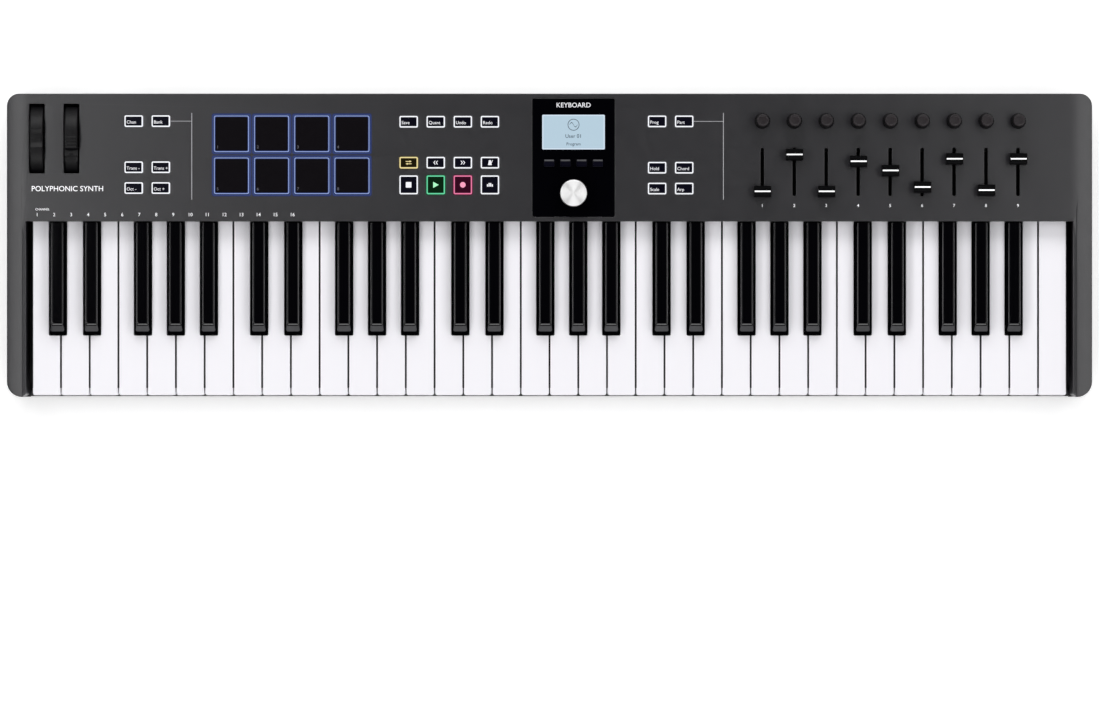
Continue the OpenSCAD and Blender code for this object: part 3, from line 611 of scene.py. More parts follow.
def shape_ends(x, y, z):
    """Leans the end walls inwards and rolls the top down at both ends and beside the keys."""
    side = 1 if x > 0 else -1
    reach = abs(x)
    lowered = z
    if z > PANEL_UNDER - 2:
        past = max(0, reach - (HALF_W - CROWN_RUN))
        lowered -= CROWN_DROP * (past / CROWN_RUN) ** 2
        into = 1 - (reach - BAY_HALF) / CHEEK_ROLL
        if 0 < into <= 1.01:
            fade = min(1, max(0, (PANEL_FRONT - y) / CHEEK_FADE))
            lowered -= CHEEK_DROP * into ** 2 * fade
    if reach > HALF_W - DRAFT_REACH:
        reach -= DRAFT * (z - base.z0) / (PANEL_Z - base.z0)
    return side * reach, y, lowered


def subdivided(points, longest):
    """A line with more points on it, none further apart than longest."""
    out = []
    for (ax, ay), (bx, by) in zip(points, points[1:]):
        steps = max(1, math.ceil(math.dist((ax, ay), (bx, by)) / longest))
        out += [(ax + (bx - ax) * k / steps, ay + (by - ay) * k / steps) for k in range(steps)]
    return out + [points[-1]]


def mirrored(left):
    """Corners at the left, then the same at the right in the reverse order."""
    return left + [(-x, y, r) for x, y, r in left[::-1]]


def opening(cap, corner):
    """The hole that a cap moves in."""
    x, y, w, d = cap
    return rounded_rect(x, y, w + 2 * GAP, d + 2 * GAP, corner)


def panel_holes():
    """Openings in the panel: wheels, buttons, pads, knobs, faders and screen cover."""
    wheel_w, wheel_d = 12.6, 56.8
    slot_w, slot_d = 2.9, 39.2
    wheels = [node_box(node).x for node in ("pitch_wheel", "mod_wheel")]
    holes = [rounded_rect(x, WHEEL_Y, wheel_w, wheel_d, 0.8) for x in wheels]
    for caps in [*button_caps.values(), pad_caps]:
        holes += [opening(cap, 1.6) for cap in caps]
    for knob in knob_boxes:
        holes.append(circle(knob.x, knob.y, SHAFT_HOLE))
        holes.append(rounded_rect(knob.x, SLOT_Y, slot_w, slot_d, 1.1))
    cover_w, cover_d = cover.x1 - cover.x0, cover.y1 - cover.y0
    holes.append(rounded_rect(cover.x, cover.y, cover_w + 0.4, cover_d + 0.4, 2))
    return holes


def rear_screw():
    """Middle of the screw that goes in through the rear wall, as (x, z)."""
    boxes = [Box(points) for points in solids("case_screws")]
    screw = max(boxes, key=lambda box: (box.y1 - box.y0) - (box.z1 - box.z0))
    return screw.x, (screw.z0 + screw.z1) / 2


def rear_cutters():
    """Solids that cut the rear wall: sockets, lock slot and screw recess."""
    cutter = Piece("cutters")
    lock_x, lock_z = 398.5, 37.2
    outlines = [
        circle(jack.x, JACK_Z, 5.2), circle(midi.x, MIDI_Z, 6.8),
        rounded_rect(usb.x, USB_Z, 9.8, 4, 1.9),
        rounded_rect(lock_x, lock_z, 7, 3.5, 1.2), circle(*rear_screw(), 4.5),
    ]
    for points in outlines:
        cutter.loft([[(x, y, z) for x, z in points] for y in (HALF_D - WALL - 2, HALF_D + 2)])
    return cutter


def cheek_corners():
    """The left cheek and end from above, from the bay to the rear, as (x, y, corner radius)."""
    return [
        (-BAY_HALF, FRONT + 2.3, 1.2), (-BAY_HALF - 3.4, FRONT, 3),
        (-HALF_W, FRONT, END_CORNER), (-HALF_W, HALF_D, REAR_CORNER),
    ]


def case_walls(top):
    """The walls that stand under the panel's edge, open at the keys, with the rear openings cut."""
    walls = Piece("walls", "case_plastic")
    left = [(-BAY_HALF, PANEL_FRONT + WALL, 0)] + cheek_corners()
    path = subdivided(rounded_polygon(mirrored(left), steps=8, cyclic=False), 8)
    inner = inset(path, -WALL, cyclic=False)
    low = case.z0
    walls.loft([[(*o, low), (*o, top), (*i, top), (*i, low)] for o, i in zip(path, inner)])
    cut(walls, rear_cutters())
    return walls.take_mesh()


def make_top_case():
    top = PANEL_UNDER + SKIN
    walls = case_walls(top)
    shell = Piece("top_case_shell", "case_plastic")
    left = cheek_corners()[::-1] + [(-BAY_HALF, PANEL_FRONT, 0.8)]
    outline = rounded_polygon(mirrored(left), steps=8)
    shell.plate(outline, panel_holes(), PANEL_UNDER, PANEL_Z, 0.5)
    # the rolled edges need lines to bend along
    crown_lines = [HALF_W - CROWN_RUN * k / 8 for k in range(1, 9)]
    roll_lines = [BAY_HALF + CHEEK_ROLL * k / 5 for k in range(1, 6)]
    shell.split_x([side * place for side in (-1, 1) for place in crown_lines + roll_lines])
    shell.add(walls)
    shell.bend(shape_ends)
    # the lip that hangs behind the panel's front edge
    lip = rounded_rect(0, PANEL_FRONT + WALL / 2, 2 * BAY_HALF, WALL, 0.3, 1)
    shell.loft([ring(lip, z) for z in (last_white.z1 + 2, top)])
    shell.finish(CASE, "case_plastic", "top_case", "end_cheeks")


def print_on_panel():
    """Lettering and dividing lines on the panel, all generic."""
    # painted glow: the print and lines drawn here glow faintly
    sheet = Piece("panel_print_painted_glow", "panel_print_painted_glow", "panel_line_painted_glow")
    z = PANEL_Z
    line_y0, line_y1 = 37.3, 108  # the upright dividing lines
    left_row = button_caps["left_buttons"][-1][1]
    right_row = button_caps["right_buttons"][-1][1]
    for x0, x1, y0, y1 in (
        (-292.1, -291.6, line_y0, line_y1), (-309.2, -292, left_row - 0.2, left_row + 0.2),
        (141.6, 142.1, line_y0, line_y1), (117.6, 141.7, right_row - 0.2, right_row + 0.2),
    ):
        sheet.flat([(x0, y0), (x1, y0), (x1, y1), (x0, y1)], z, "panel_line_painted_glow")
    sheet.text("POLYPHONIC SYNTH", -422.8, 46, z, 6.1, align="LEFT")
    channel_x, channel_pitch = -418, 13.88
    for i in range(16):
        sheet.text(str(i + 1), channel_x + channel_pitch * i, 24.9, z, 4)
    sheet.text("CHANNEL", -413.7, 29.3, z, 2.5)
    for i, knob in enumerate(knob_boxes):
        sheet.text(str(i + 1), knob.x, 32.3, z, 3.6)
    sheet.finish(CASE, "case_plastic", sharp=60)


def wave_ribbon(x, y, half, height, thick, steps):
    """One sine wave drawn as a band, from -half to half round (x, y)."""
    across = [-half + 2 * half * k / steps for k in range(steps + 1)]
    wave = [(x + a, y + height * math.sin(math.pi * a / half)) for a in across]
    return [(a, b - thick) for a, b in wave] + [(a, b + thick) for a, b in wave[::-1]]


def print_on_rear():
    """Lettering and a wave sign in a ring, drawn as seen from behind."""
    # painted glow: the rear print glows like the panel's
    sheet = Piece("rear_print", "panel_print_painted_glow")
    y = HALF_D
    for words, socket in (("Pedal", jack), ("MIDI out", midi), ("USB", usb)):
        sheet.text(words, -socket.x, 47.7, y, 3.2)
    sheet.text("SYNTH", 219.5, 30.5, y, 20)
    sign_x, sign_z, r = 361, 31, 20.5
    band, thick = 2.6, 0.06
    hole = circle(sign_x, sign_z, r - band, 64)
    sheet.plate(circle(sign_x, sign_z, r, 64), [hole], y, y + thick, 0.02)
    sheet.flat(wave_ribbon(sign_x, sign_z, r - 6, 8, 1.6, 40), y, thick=thick)
    sheet.face_rear()
    sheet.finish(CASE, "case_plastic", sharp=60)


def make_front_trim():
    """A slim strip in the bottom case's dark plastic, put before the keys as painted shade: it shows as
    the dark line of shade under the keys' front edge.
    """
    shade_strip = Piece("front_shade_strip", "base_plastic")
    front, rear, low, high = FRONT + 0.5, FRONT + 3, 4.5, 9.4
    profile = [(front, low), (rear, low), (rear, high), (front + 0.4, high), (front, high - 0.4)]
    shade_strip.along_x(profile, -BAY_HALF + 0.5, BAY_HALF - 0.5)
    shade_strip.finish(CASE, "case_plastic")


def make_feet():
    feet = Piece("rubber_foot_pads", "foot_rubber")
    for points in solids("rubber_feet"):
        foot = Box(points)
        r = (foot.x1 - foot.x0) / 2
        profile = [
            (r - 5, foot.z0 + 0.5), (r - 4.4, foot.z0), (r - 0.8, foot.z0), (r - 0.2, foot.z0 + 0.4),
            (r, foot.z0 + 0.9), (r, foot.z1),
        ]
        feet.lathe(foot.x, foot.y, profile, steps=64)
    feet.finish(CASE, "rubber", "rubber_feet")


# --- keys

def key_hook(piece, x0, x1):
    """The C-shaped clip at a key's tail, open to the rear round the hinge rail."""
    r = 2.55
    mouth = math.degrees(math.asin(1.7 / r))
    rear = HINGE_Y + 3.2
    bore = arc(HINGE_Y, HINGE_Z, r, 360 - mouth, mouth, 20)
    lower = [(KEY_TAIL, HINGE_Z - 5), (rear, HINGE_Z - 5), (rear, HINGE_Z - 1.7)]
    upper = [(rear, HINGE_Z + 1.7), (rear, HINGE_Z + 5), (KEY_TAIL, HINGE_Z + 5)]
    piece.along_x(lower + bore + upper, x0, x1)


def key_plunger(piece, x, top):
    piece.slab(x, PLUNGER_Y, 4, 4, 0.6, PLUNGER_Z, top, 0.1, steps=3)


def white_outline(x0, x1, tail0, tail1, by):
    """A white key from above, shrunk by an amount: a wide head and a tail between the black keys."""
    front = first_white.y0 + by
    shoulder = HEAD_END - by
    rear = KEY_TAIL - by
    outer_r = max(0.15, 1.9 - by)
    small_r = max(0.15, 0.7 - by)
    x0, x1, tail0, tail1 = x0 + by, x1 - by, tail0 + by, tail1 - by
    corners = [(x0, front, outer_r), (x1, front, outer_r)]
    corners += [(x1, SKIRT_REAR, 0), (x1, SKIRT_REAR + 0.2, 0)]
    if x1 - tail1 > 1:
        corners += [(x1, shoulder, small_r), (tail1, shoulder, 0.7 + by)]
    corners += [(tail1, rear, small_r), (tail0, rear, small_r)]
    if tail0 - x0 > 1:
        corners += [(tail0, shoulder, 0.7 + by), (x0, shoulder, small_r)]
    corners += [(x0, SKIRT_REAR + 0.2, 0), (x0, SKIRT_REAR, 0)]
    return rounded_polygon(corners, 4)


def make_white_key(name, node, points):
    box = Box(points)
    tail_points = [p for p in points if p[1] > KEY_TAIL + 1]
    tail = Box(tail_points)
    piece = Piece(name, "white_key", "white_key_painted_shade")
    wall = 1.8
    roof = box.z1 - 2.2

    def outline(by, z):
        return ring(white_outline(box.x0, box.x1, tail.x0, tail.x1, by), z)

    def foot(up):
        return lambda x, y: (SKIRT_Z if y < SKIRT_REAR + 0.1 else KEY_SIDE_Z) + up

    rings = [outline(wall, roof), outline(wall, foot(0)), outline(0.3, foot(0)), outline(0, foot(0.3))]
    r = 0.9
    for k in range(5):
        a = math.pi / 2 * k / 4
        rings.append(outline(r * (1 - math.cos(a)), box.z1 - r + r * math.sin(a)))
    piece.loft(rings)
    # painted shade: side faces below that depth take the dark grey look, standing for the shade in the
    # gaps between keys
    for face in piece.bm.faces:
        middle = face.calc_center_median()
        if middle.z < box.z1 - SIDE_SHADE_DEPTH and middle.y > SKIRT_REAR:
            face.material_index = piece.slot("white_key_painted_shade")
    key_plunger(piece, tail.x, box.z1 - 1)
    key_hook(piece, tail.x0, tail.x1)
    piece.finish(node, "white_key", node)


BEVEL_FOOT, BEVEL_TOP = 48.8, 52.4  # a black key's sloped front face, which is satin, with a lighter grey painted on as the light that the slope catches
# a black key's outside from its foot upwards: (z, half width, y from the key's front, corner radius)
BLACK_PROFILE = [
    (KEY_SIDE_Z, 6.5, 0, 0.7), (43, 6.5, 0, 0.9), (45, 6.2, 0.1, 1.1), (46.6, 5.9, 0.7, 1.3),
    (BEVEL_FOOT, 5.5, 2.1, 1.3), (BEVEL_TOP, 4.9, 6.5, 1.2), (53.2, 4.65, 7.6, 1.2),
    (53.6, 4.3, 8.5, 1.1), (53.8, 3.8, 9.4, 1.0),
]


def black_outline(x, half, front, rear, r):
    corners = [(x - half, front, r), (x + half, front, r), (x + half, rear, 0.4), (x - half, rear, 0.4)]
    return rounded_polygon(corners, 5)


def make_black_key(name, node, points):
    box = Box(points)
    piece = Piece(name, "black_key", "black_key_satin_painted_light", "black_key_side")
    rear = PANEL_FRONT - 1
    hollow = black_outline(box.x, 3, box.y0 + 10.5, rear - 2, 0.5)
    rings = [ring(hollow, box.z1 - 2.5), ring(hollow, KEY_SIDE_Z)]
    for z, half, back, r in BLACK_PROFILE:
        rings.append(ring(black_outline(box.x, half, box.y0 + back, rear, r), z))
    piece.loft(rings)
    for face in piece.bm.faces:
        middle = face.calc_center_median()
        # painted light: the front slope takes the lighter satin grey
        if middle.y < box.y0 + 5.5 and BEVEL_FOOT < middle.z < BEVEL_TOP:
            face.material_index = piece.slot("black_key_satin_painted_light")
        elif middle.z < BEVEL_TOP:
            face.material_index = piece.slot("black_key_side")
    tail_y, tail_d = (rear + KEY_TAIL) / 2 - 0.4, KEY_TAIL - rear + 1
    piece.slab(box.x, tail_y, 13, tail_d, 0.3, KEY_SIDE_Z, last_white.z1 - 1, 0.3, steps=2)
    key_plunger(piece, box.x, box.z1 - 1)
    key_hook(piece, box.x - 6.5, box.x + 6.5)
    piece.finish(node, "black_key", node)


def make_keys():
    kinds = (("white", white_keys, make_white_key), ("black", black_keys, make_black_key))
    for colour, nodes, make in kinds:
        for node, keys in nodes.items():
            for i, points in enumerate(keys):
                make(f"{colour}_{node}_{i + 1}", node, points)


# --- wheels

WHEEL_R = 33.5
AXLE_Z = node_box("pitch_wheel").z1 - WHEEL_R
RIM_EDGE = 1.2  # rounding of the rim's edges
TYRE_INNER = 29
WEB_HALF = 1.8
WEB_INNER = 6.6
RIB_DEPTH = 0.3


def rim_radius(angle, notch_at, notch_r, depth):
    """Radius of a wheel whose rim has a round notch, by angle from straight up, in degrees."""
    reach = WHEEL_R + notch_r - depth
    off = math.radians(angle - notch_at)
    room = notch_r ** 2 - (reach * math.sin(off)) ** 2
    if room <= 0 or abs(off) > 1:
        return WHEEL_R
    return min(WHEEL_R, reach * math.cos(off) - math.sqrt(room))


def wheel_section(half, r):
    """A wheel's cut face, as (x, distance from the axle): thin web, tyre and rounded rim."""
    left = [(-WEB_HALF, WEB_INNER), (-WEB_HALF, TYRE_INNER), (-half, TYRE_INNER)]
    for t in (0, 0.5, 1.0, 1.57):
        left.append((-half + RIM_EDGE - RIM_EDGE * math.cos(t), r - RIM_EDGE + RIM_EDGE * math.sin(t)))
    return left + [(-x, q) for x, q in left[::-1]]


def round_axle(x, section, a):
    """A section turned by an angle about the wheels' axle."""
    return [(x + across, WHEEL_Y + q * math.sin(a), AXLE_Z + q * math.cos(a)) for across, q in section]


def make_wheel(node, start, end, notch, ribs):
    """A wheel's visible arc on its hub. Angles are in degrees from straight up.

    notch is (angle, radius, depth), and ribs gives the angles that they lie between.
    """
    box = node_box(node)
    half = (box.x1 - box.x0) / 2
    piece = Piece(node + "_rim", "wheel_rubber")
    rings = []
    steps = round((end - start) / 1.25)
    for k in range(steps + 1):
        angle = start + (end - start) * k / steps
        r = rim_radius(angle, *notch)
        if ribs[0] < angle < ribs[1] and k % 4 == 0:
            r -= RIB_DEPTH
        rings.append(round_axle(box.x, wheel_section(half, r), math.radians(angle)))
    piece.loft(rings)
    hub = [(-half, 3.05), (-half, 7), (half, 7), (half, 3.05)]
    piece.loft([round_axle(box.x, hub, 2 * math.pi * k / 32) for k in range(32)], closed=True)
    piece.finish(node, "wheel_rubber", node)


# --- buttons and pads

PLAIN = ("rim_white", "button_face")  # an unlit button's rim and face
BLANK = (*PLAIN, "mark_white")


def button_cap(piece, x, y, w, d, top, rim, face):
    """A lit frame with a dark face standing a little proud of it, over a hidden flange and stem."""
    flange_w, flange_d = w + 2 * FLANGE, d + 2 * FLANGE
    piece.slab(x, y, flange_w, flange_d, 1.2, FLANGE_TOP - 1.4, FLANGE_TOP, 0.2, face, 4)
    piece.slab(x, y, w, d, 1.2, FLANGE_TOP - 0.3, top - 0.5, 0.3, rim, 4)
    piece.slab(x, y, w - 2, d - 2, 0.5, top - 1.5, top, 0.3, face, 4)
    stem = 2
    piece.lathe(x, y, [(stem, board.z1 + 0.2), (stem, FLANGE_TOP - 1.3)], face, 24)


def make_text_buttons(node, words):
    """Buttons with a short word at the lower left. The words run in the order of the node's solids."""
    piece = Piece(node + "_caps", *BLANK)
    top = node_box(node).z1
    for (x, y, w, d), word in zip(button_caps[node], words):
        button_cap(piece, x, y, w, d, top, *PLAIN)
        piece.text(word, x - w / 2 + 1.7, y - 0.9, top, 3.7, "mark_white", "LEFT")
    piece.finish(node, "button_plastic", node)


def loop_icon():
    """Two arrows, one each way."""
    bar = [(-2.4, 0.65), (0.9, 0.65), (0.9, 1.25), (-2.4, 1.25)]
    head = [(0.8, 0), (2.4, 0.95), (0.8, 1.9)]
    return [[(side * a, side * b) for a, b in points] for side in (1, -1) for points in (bar, head)]


def arrows_icon(turn):
    """Two arrowheads, to the right where turn is 1 and to the left where it is -1."""
    chevron = [(-0.9, -1.5), (-0.1, -1.5), (1, 0), (-0.1, 1.5), (-0.9, 1.5), (0.2, 0)]
    return [[(off + turn * a, b) for a, b in chevron] for off in (-0.95, 0.95)]


def metronome_icon():
    """A tapered box and a rod that leans out of it."""
    box = [(-1.6, -2), (1.6, -2), (0.8, 2), (-0.8, 2)]
    return [box, [(0.8, -0.4), (1.2, -0.7), (2.4, 1.9), (2, 2.1)]]


def tap_icon():
    """Four upright bars."""
    heights = (2, 3, 3, 2)
    return [rounded_rect(-1.95 + 1.3 * i, -1.5 + h / 2, 1, h, 0.3, 2) for i, h in enumerate(heights)]


LOOP_BUTTONS = [
    ("rim_yellow", "face_yellow", "rim_yellow", loop_icon()),
    (*BLANK, arrows_icon(-1)), (*BLANK, arrows_icon(1)), (*BLANK, metronome_icon()),
]
TRANSPORT_BUTTONS = [
    (*BLANK, [rounded_rect(0, 0, 4.6, 4.6, 0.5, 3)]),
    ("rim_green", "face_green", "mark_green", [[(-2.1, -2.52), (2.52, 0), (-2.1, 2.52)]]),
    ("rim_pink", "face_pink", "mark_pink", [circle(0, 0, 2.3)]),
    (*BLANK, tap_icon()),
]


def make_icon_buttons(node, buttons):
    """Buttons with printed signs. Each is (rim, face, mark, outlines), in the order of the solids."""
    looks = dict.fromkeys(look for button in buttons for look in button[:3])
    piece = Piece(node + "_caps", *looks)
    top = node_box(node).z1
    for (x, y, w, d), (rim, face, mark, outlines) in zip(button_caps[node], buttons):
        button_cap(piece, x, y, w, d, top, rim, face)
        for points in outlines:
            piece.flat([(x + a, y + b) for a, b in points], top, mark)
    piece.finish(node, "button_plastic", node)


def make_pads():
    node = "drum_pads"
    piece = Piece("drum_pad_caps", "pad_rubber", "rim_blue", "pad_skirt", "pad_print", "bleed_blue")
    top = node_box(node).z1
    order = sorted(pad_caps, key=lambda cap: (-round(cap[1]), cap[0]))
    # flange, skirt, rim, step and pad: (narrower by, corner, z0, z1, edge, look)
    layers = [
        (-2 * FLANGE, 1.4, FLANGE_TOP - 1.4, FLANGE_TOP, 0.2, "pad_rubber"),
        (0.1, 1.4, FLANGE_TOP - 0.3, PANEL_Z + 0.6, 0.05, "pad_skirt"),
        (0, 1.4, PANEL_Z + 0.5, top - 0.7, 0.3, "rim_blue"),
        (1.1, 1.2, top - 1.4, top - 0.64, 0.05, "bleed_blue"),
        (2.2, 1.1, top - 2, top, 0.5, "pad_rubber"),
    ]
    for x, y, w, d in pad_caps:
        for by, corner, z0, z1, edge, look in layers:
            piece.slab(x, y, w - by, d - by, corner, z0, z1, edge, look, 4)
        number = order.index((x, y, w, d)) + 1
        piece.text(str(number), x - w / 2 + 3, y - d / 2 + 4, top, 3.4, "pad_print")
    piece.finish(node, "pad_rubber", node)


def light_bleed():
    """The coloured light that the pads and two of the buttons throw on the panel round them."""
    film = Piece("light_bleed", "bleed_blue", "bleed_blue_faint", "bleed_green", "bleed_pink")
    transport = button_caps["transport_buttons"]
    spots = [(cap, 2.05, "bleed_blue", "bleed_blue_faint") for cap in pad_caps]
    spots += [(transport[1], 1.4, "bleed_green", None), (transport[2], 1.4, "bleed_pink", None)]
    z1 = PANEL_Z + 0.02
    for (x, y, w, d), reach, near, far in spots:
        inner = opening((x, y, w, d), 1.6)
        middle = rounded_rect(x, y, w + 2 * reach - 1.2, d + 2 * reach - 1.2, 1.8)
        film.plate(middle, [inner], PANEL_Z, z1, 0.005, near)
        if far:
            outer = rounded_rect(x, y, w + 2 * reach, d + 2 * reach, 2)
            film.plate(outer, [middle], PANEL_Z, z1, 0.005, far)
    film.finish(CASE, "case_plastic")


# --- screen and main knob

def make_screen():
    looks = ["cover_gloss", "screen_edge", "screen_glow", "screen_ink", "mark_white"]
    glass = Piece("display_glass", *looks)
    holes = [opening(cap, 0.9) for cap in screen_caps]
    holes.append(circle(main_knob.x, main_knob.y, SHAFT_HOLE))
    outline = rounded_rect(cover.x, cover.y, cover.x1 - cover.x0, cover.y1 - cover.y0, 1.8)
    glass.plate(outline, holes, cover.z0, cover.z1, 0.3)
    x, y, w, d = cover.x, 92.35, 51.1, 28.3
    z = cover.z1
    glass.flat(rounded_rect(x, y, w, d, 0.8), z, "screen_edge")
    glass.flat(rounded_rect(x, y, w - 2, d - 2, 0.4), z + 0.04, "screen_glow")
    ink = z + 0.08
    glass.plate(circle(x, y + 6, 4.8), [circle(x, y + 6, 4.3)], ink, ink + 0.05, 0.02, "screen_ink")
    glass.flat(wave_ribbon(x, y + 6, 3.2, -1.8, 0.3, 24), ink, "screen_ink")
    glass.text("User 01", x, y - 3.4, ink, 4.2, "screen_ink")
    glass.text("Program", x, y - 9.8, ink, 3.4, "screen_ink")
    glass.text("KEYBOARD", x, 114.2, z, 5.5, "mark_white")
    glass.finish(CASE, "gloss_cover", "display_cover")


def make_screen_buttons():
    node = "screen_buttons"
    piece = Piece("screen_button_caps", "button_face", "dome_rubber_and_edge_highlight")
    box = node_box(node)
    flange_top = cover.z0 - 0.3
    for x, y, w, d in screen_caps:
        piece.slab(x, y, w + 2.4, d + 2.4, 0.6, flange_top - 1.4, flange_top, 0.2, steps=3)
        piece.slab(x, y, w, d, 0.6, flange_top - 0.3, box.z1 - 0.15, 0.35, steps=3)
        # painted highlight: a raised strip along each cap's rear edge, in a paler rubber look, for the
        # light that edge catches
        piece.slab(x, y + d / 2 - 0.9, w - 0.5, 1.3, 0.3, box.z1 - 0.8, box.z1, 0.1, "dome_rubber_and_edge_highlight", 3)
        piece.lathe(x, y, [(1.5, box.z0 + 0.1), (1.5, flange_top - 1.3)], steps=24)
    piece.finish(node, "gloss_plastic", node)


def flute(a, count, depth):
    """How far a fluted side lies from its full radius, at an angle."""
    return -depth * (0.5 + 0.5 * math.cos(count * a))


def make_main_knob():
    node = "main_knob"
    x, y = main_knob.x, main_knob.y
    top = main_knob.z1
    foot = PANEL_Z + 1.4
    r = (main_knob.x1 - main_knob.x0) / 2
    grip = Piece("main_knob_grip", "knob_plastic")

    def scallop(a, z):
        return flute(a, 24, 0.35) if foot + 1 < z < top - 1.5 else 0

    profile = [
        (5.7, foot + 1.4), (5.7, foot), (r - 0.6, foot), (r, foot + 0.6), (r, foot + 1.4),
        (r - 0.1, foot + 1.8), (r - 0.2, top - 2), (r, top - 1.4), (r, top - 1.1), (r - 0.3, top - 0.8),
        (r - 0.8, top - 0.8),
    ]
    grip.lathe(x, y, profile, steps=144, ripple=scallop)
    grip.lathe(x, y, [(2.7, board.z1 - 1), (3, board.z1 - 0.7), (3, foot + 2)], steps=32)
    grip.finish(node, "bright_metal", node)
    disc = Piece("main_knob_disc", "turned_metal")
    disc_r = r - 0.45
    profile = [
        (disc_r - 0.4, top - 1.1), (disc_r, top - 1), (disc_r, top - 0.4), (disc_r - 0.4, top),
        (0.3, top - 0.1),
    ]
    disc.lathe(x, y, profile, steps=96)
    disc.finish(node, "bright_metal")


# --- knobs and faders

def make_knob(i, box):
    node = f"knob_{i}"
    piece = Piece(node + "_cap", "knob_skirt_painted_shade", "knob_plastic")
    r0 = (box.x1 - box.x0) / 2
    r1 = r0 - 1.4
    foot = PANEL_Z + 2
    top = box.z1

    def knurl(a, z):
        return flute(a, 18, 0.28) if foot + 1.5 < z < top - 0.7 else 0

    profile = [
        (3.4, foot + 0.6), (r0 - 0.5, foot), (r0, foot + 0.4), (r0, foot + 1.4), (r0 - 0.2, foot + 1.8),
        (r1 + 0.15, top - 1.1), (r1 - 0.05, top - 0.6), (r1 - 0.3, top - 0.15), (r1 - 0.8, top),
        (r1 - 1.3, top - 0.05), (r1 - 1.7, top - 0.35), (0.3, top - 0.5),
    ]
    piece.lathe(box.x, box.y, profile, steps=108, ripple=knurl)
    # painted shade: only the top takes the knob's own plastic; the sides keep the darker skirt look
    for face in piece.bm.faces:
        if face.calc_center_median().z > top - 0.9:
            face.material_index = piece.slot("knob_plastic")
    piece.lathe(box.x, box.y, [(3, box.z0), (3, foot + 1)], steps=32)
    piece.finish(node, "knob_plastic", node)


def make_fader(i, box):
    node = f"fader_{i}"
    piece = Piece(node + "_cap", "fader_plastic", "fader_line_painted_glow", "knob_plastic")
    foot = PANEL_Z + 1.1
    top = box.z1
    half = (box.y1 - box.y0) / 2
    # the rear half from the foot upwards, with finger ridges down to the groove
    rear = [
        (half - 0.3, foot), (half, foot + 0.4), (half - 0.5, top - 0.4), (half - 0.9, top),
        (3.2, top), (2.9, top - 0.35), (2.5, top - 0.35), (2.2, top - 0.75), (1.8, top - 0.75),
        (1.4, top - 1.3), (1.1, top - 1.6),
    ]
    profile = [(-half + 0.3, foot)] + rear + [(-y, z) for y, z in rear[:0:-1]]
    piece.along_x([(box.y + y, z) for y, z in profile], box.x0, box.x1)
    end_edges = [e for e in piece.bm.edges if abs(e.verts[0].co.x - e.verts[1].co.x) < 0.01]
    bmesh.ops.bevel(piece.bm, geom=end_edges, offset=0.25, segments=2, affect="EDGES", profile=0.5)
    # painted glow: the white line in the groove glows faintly
    low, high = top - 1.7, top - 1.35
    line = [(box.y + y, z) for y, z in ((-0.55, low), (0.55, low), (0.55, high), (-0.55, high))]
    piece.along_x(line, box.x0 + 0.5, box.x1 - 0.5, "fader_line_painted_glow")
    piece.slab(box.x, box.y, 1.4, 4, 0.2, box.z0, foot + 1, 0.1, "knob_plastic", 2)
    piece.finish(node, "gloss_plastic", node)


# --- sockets

BEHIND_WALL = HALF_D - WALL - 0.2  # how far back the sockets' bodies come


def make_pedal_jack():
    piece = Piece("pedal_jack_shell", "dark_plastic", "bright_metal")
    side, bore, lip = 12, 3.2, 4.5
    body = rounded_rect(0, 0, side, side, 0.8)
    piece.plate(body, [circle(0, 0, bore)], jack.y0 + 4.8, BEHIND_WALL, 0.3)
    piece.slab(0, 0, side, side, 0.8, jack.y0, jack.y0 + 5, 0.2)
    nose = [
        (bore, HALF_D - 6), (lip, HALF_D - 6), (lip, jack.y1 - 0.4), (4.1, jack.y1), (3.6, jack.y1),
        (bore, jack.y1 - 0.4),
    ]
    piece.lathe(0, 0, nose, "bright_metal", closed=True)
    piece.face_rear(jack.x, JACK_Z)
    piece.finish(CASE, "dark_plastic", "pedal_jack")


def make_midi_socket():
    piece = Piece("midi_socket_shell", "dark_plastic", "bright_metal")
    low, high = midi.z0 - MIDI_Z, midi.z1 - MIDI_Z
    body = rounded_rect(0, (low + high) / 2, midi.x1 - midi.x0, high - low, 0.8)
    bore, lip, pin_ring, pin = 5.6, 6.4, 3.6, 0.9
    face = HALF_D - 5.6
    angles = [-math.pi / 2 + math.pi / 4 * k for k in range(5)]
    pins = [circle(pin_ring * math.sin(a), -pin_ring * math.cos(a), pin, 16) for a in angles]
    piece.plate(body, [circle(0, 0, bore, 48)], face - 0.1, BEHIND_WALL, 0.2)
    piece.plate(body, pins, face - 7, face, 0.1)
    piece.loft(block(body, midi.y0, face - 6.9, 0.2))
    nose = [
        (bore, face + 2), (lip, face + 2), (lip, midi.y1 - 0.3), (6.1, midi.y1), (5.8, midi.y1),
        (bore, midi.y1 - 0.3),
    ]
    piece.lathe(0, 0, nose, "bright_metal", 64, closed=True)
    piece.face_rear(midi.x, MIDI_Z)
    piece.finish(CASE, "dark_plastic", "midi_socket")


def make_usb_socket():
    piece = Piece("usb_socket_shell", "bright_metal", "dark_plastic")
    mouth = rounded_rect(0, 0, 8.34, 2.6, 1.25)
    piece.plate(rounded_rect(0, 0, 8.94, 3.2, 1.5), [mouth], usb.y0 + 0.4, usb.y1, 0.1)
    piece.slab(0, 0, 8.9, 3.15, 1.5, usb.y0, usb.y0 + 1, 0.1)
    piece.slab(0, 0, 6.6, 0.7, 0.2, usb.y0 + 0.5, usb.y1 - 0.8, 0.1, "dark_plastic", 2)
    piece.face_rear(usb.x, USB_Z)
    piece.finish(CASE, "bright_metal", "usb_socket")


# --- pieces that keep their CAD shape

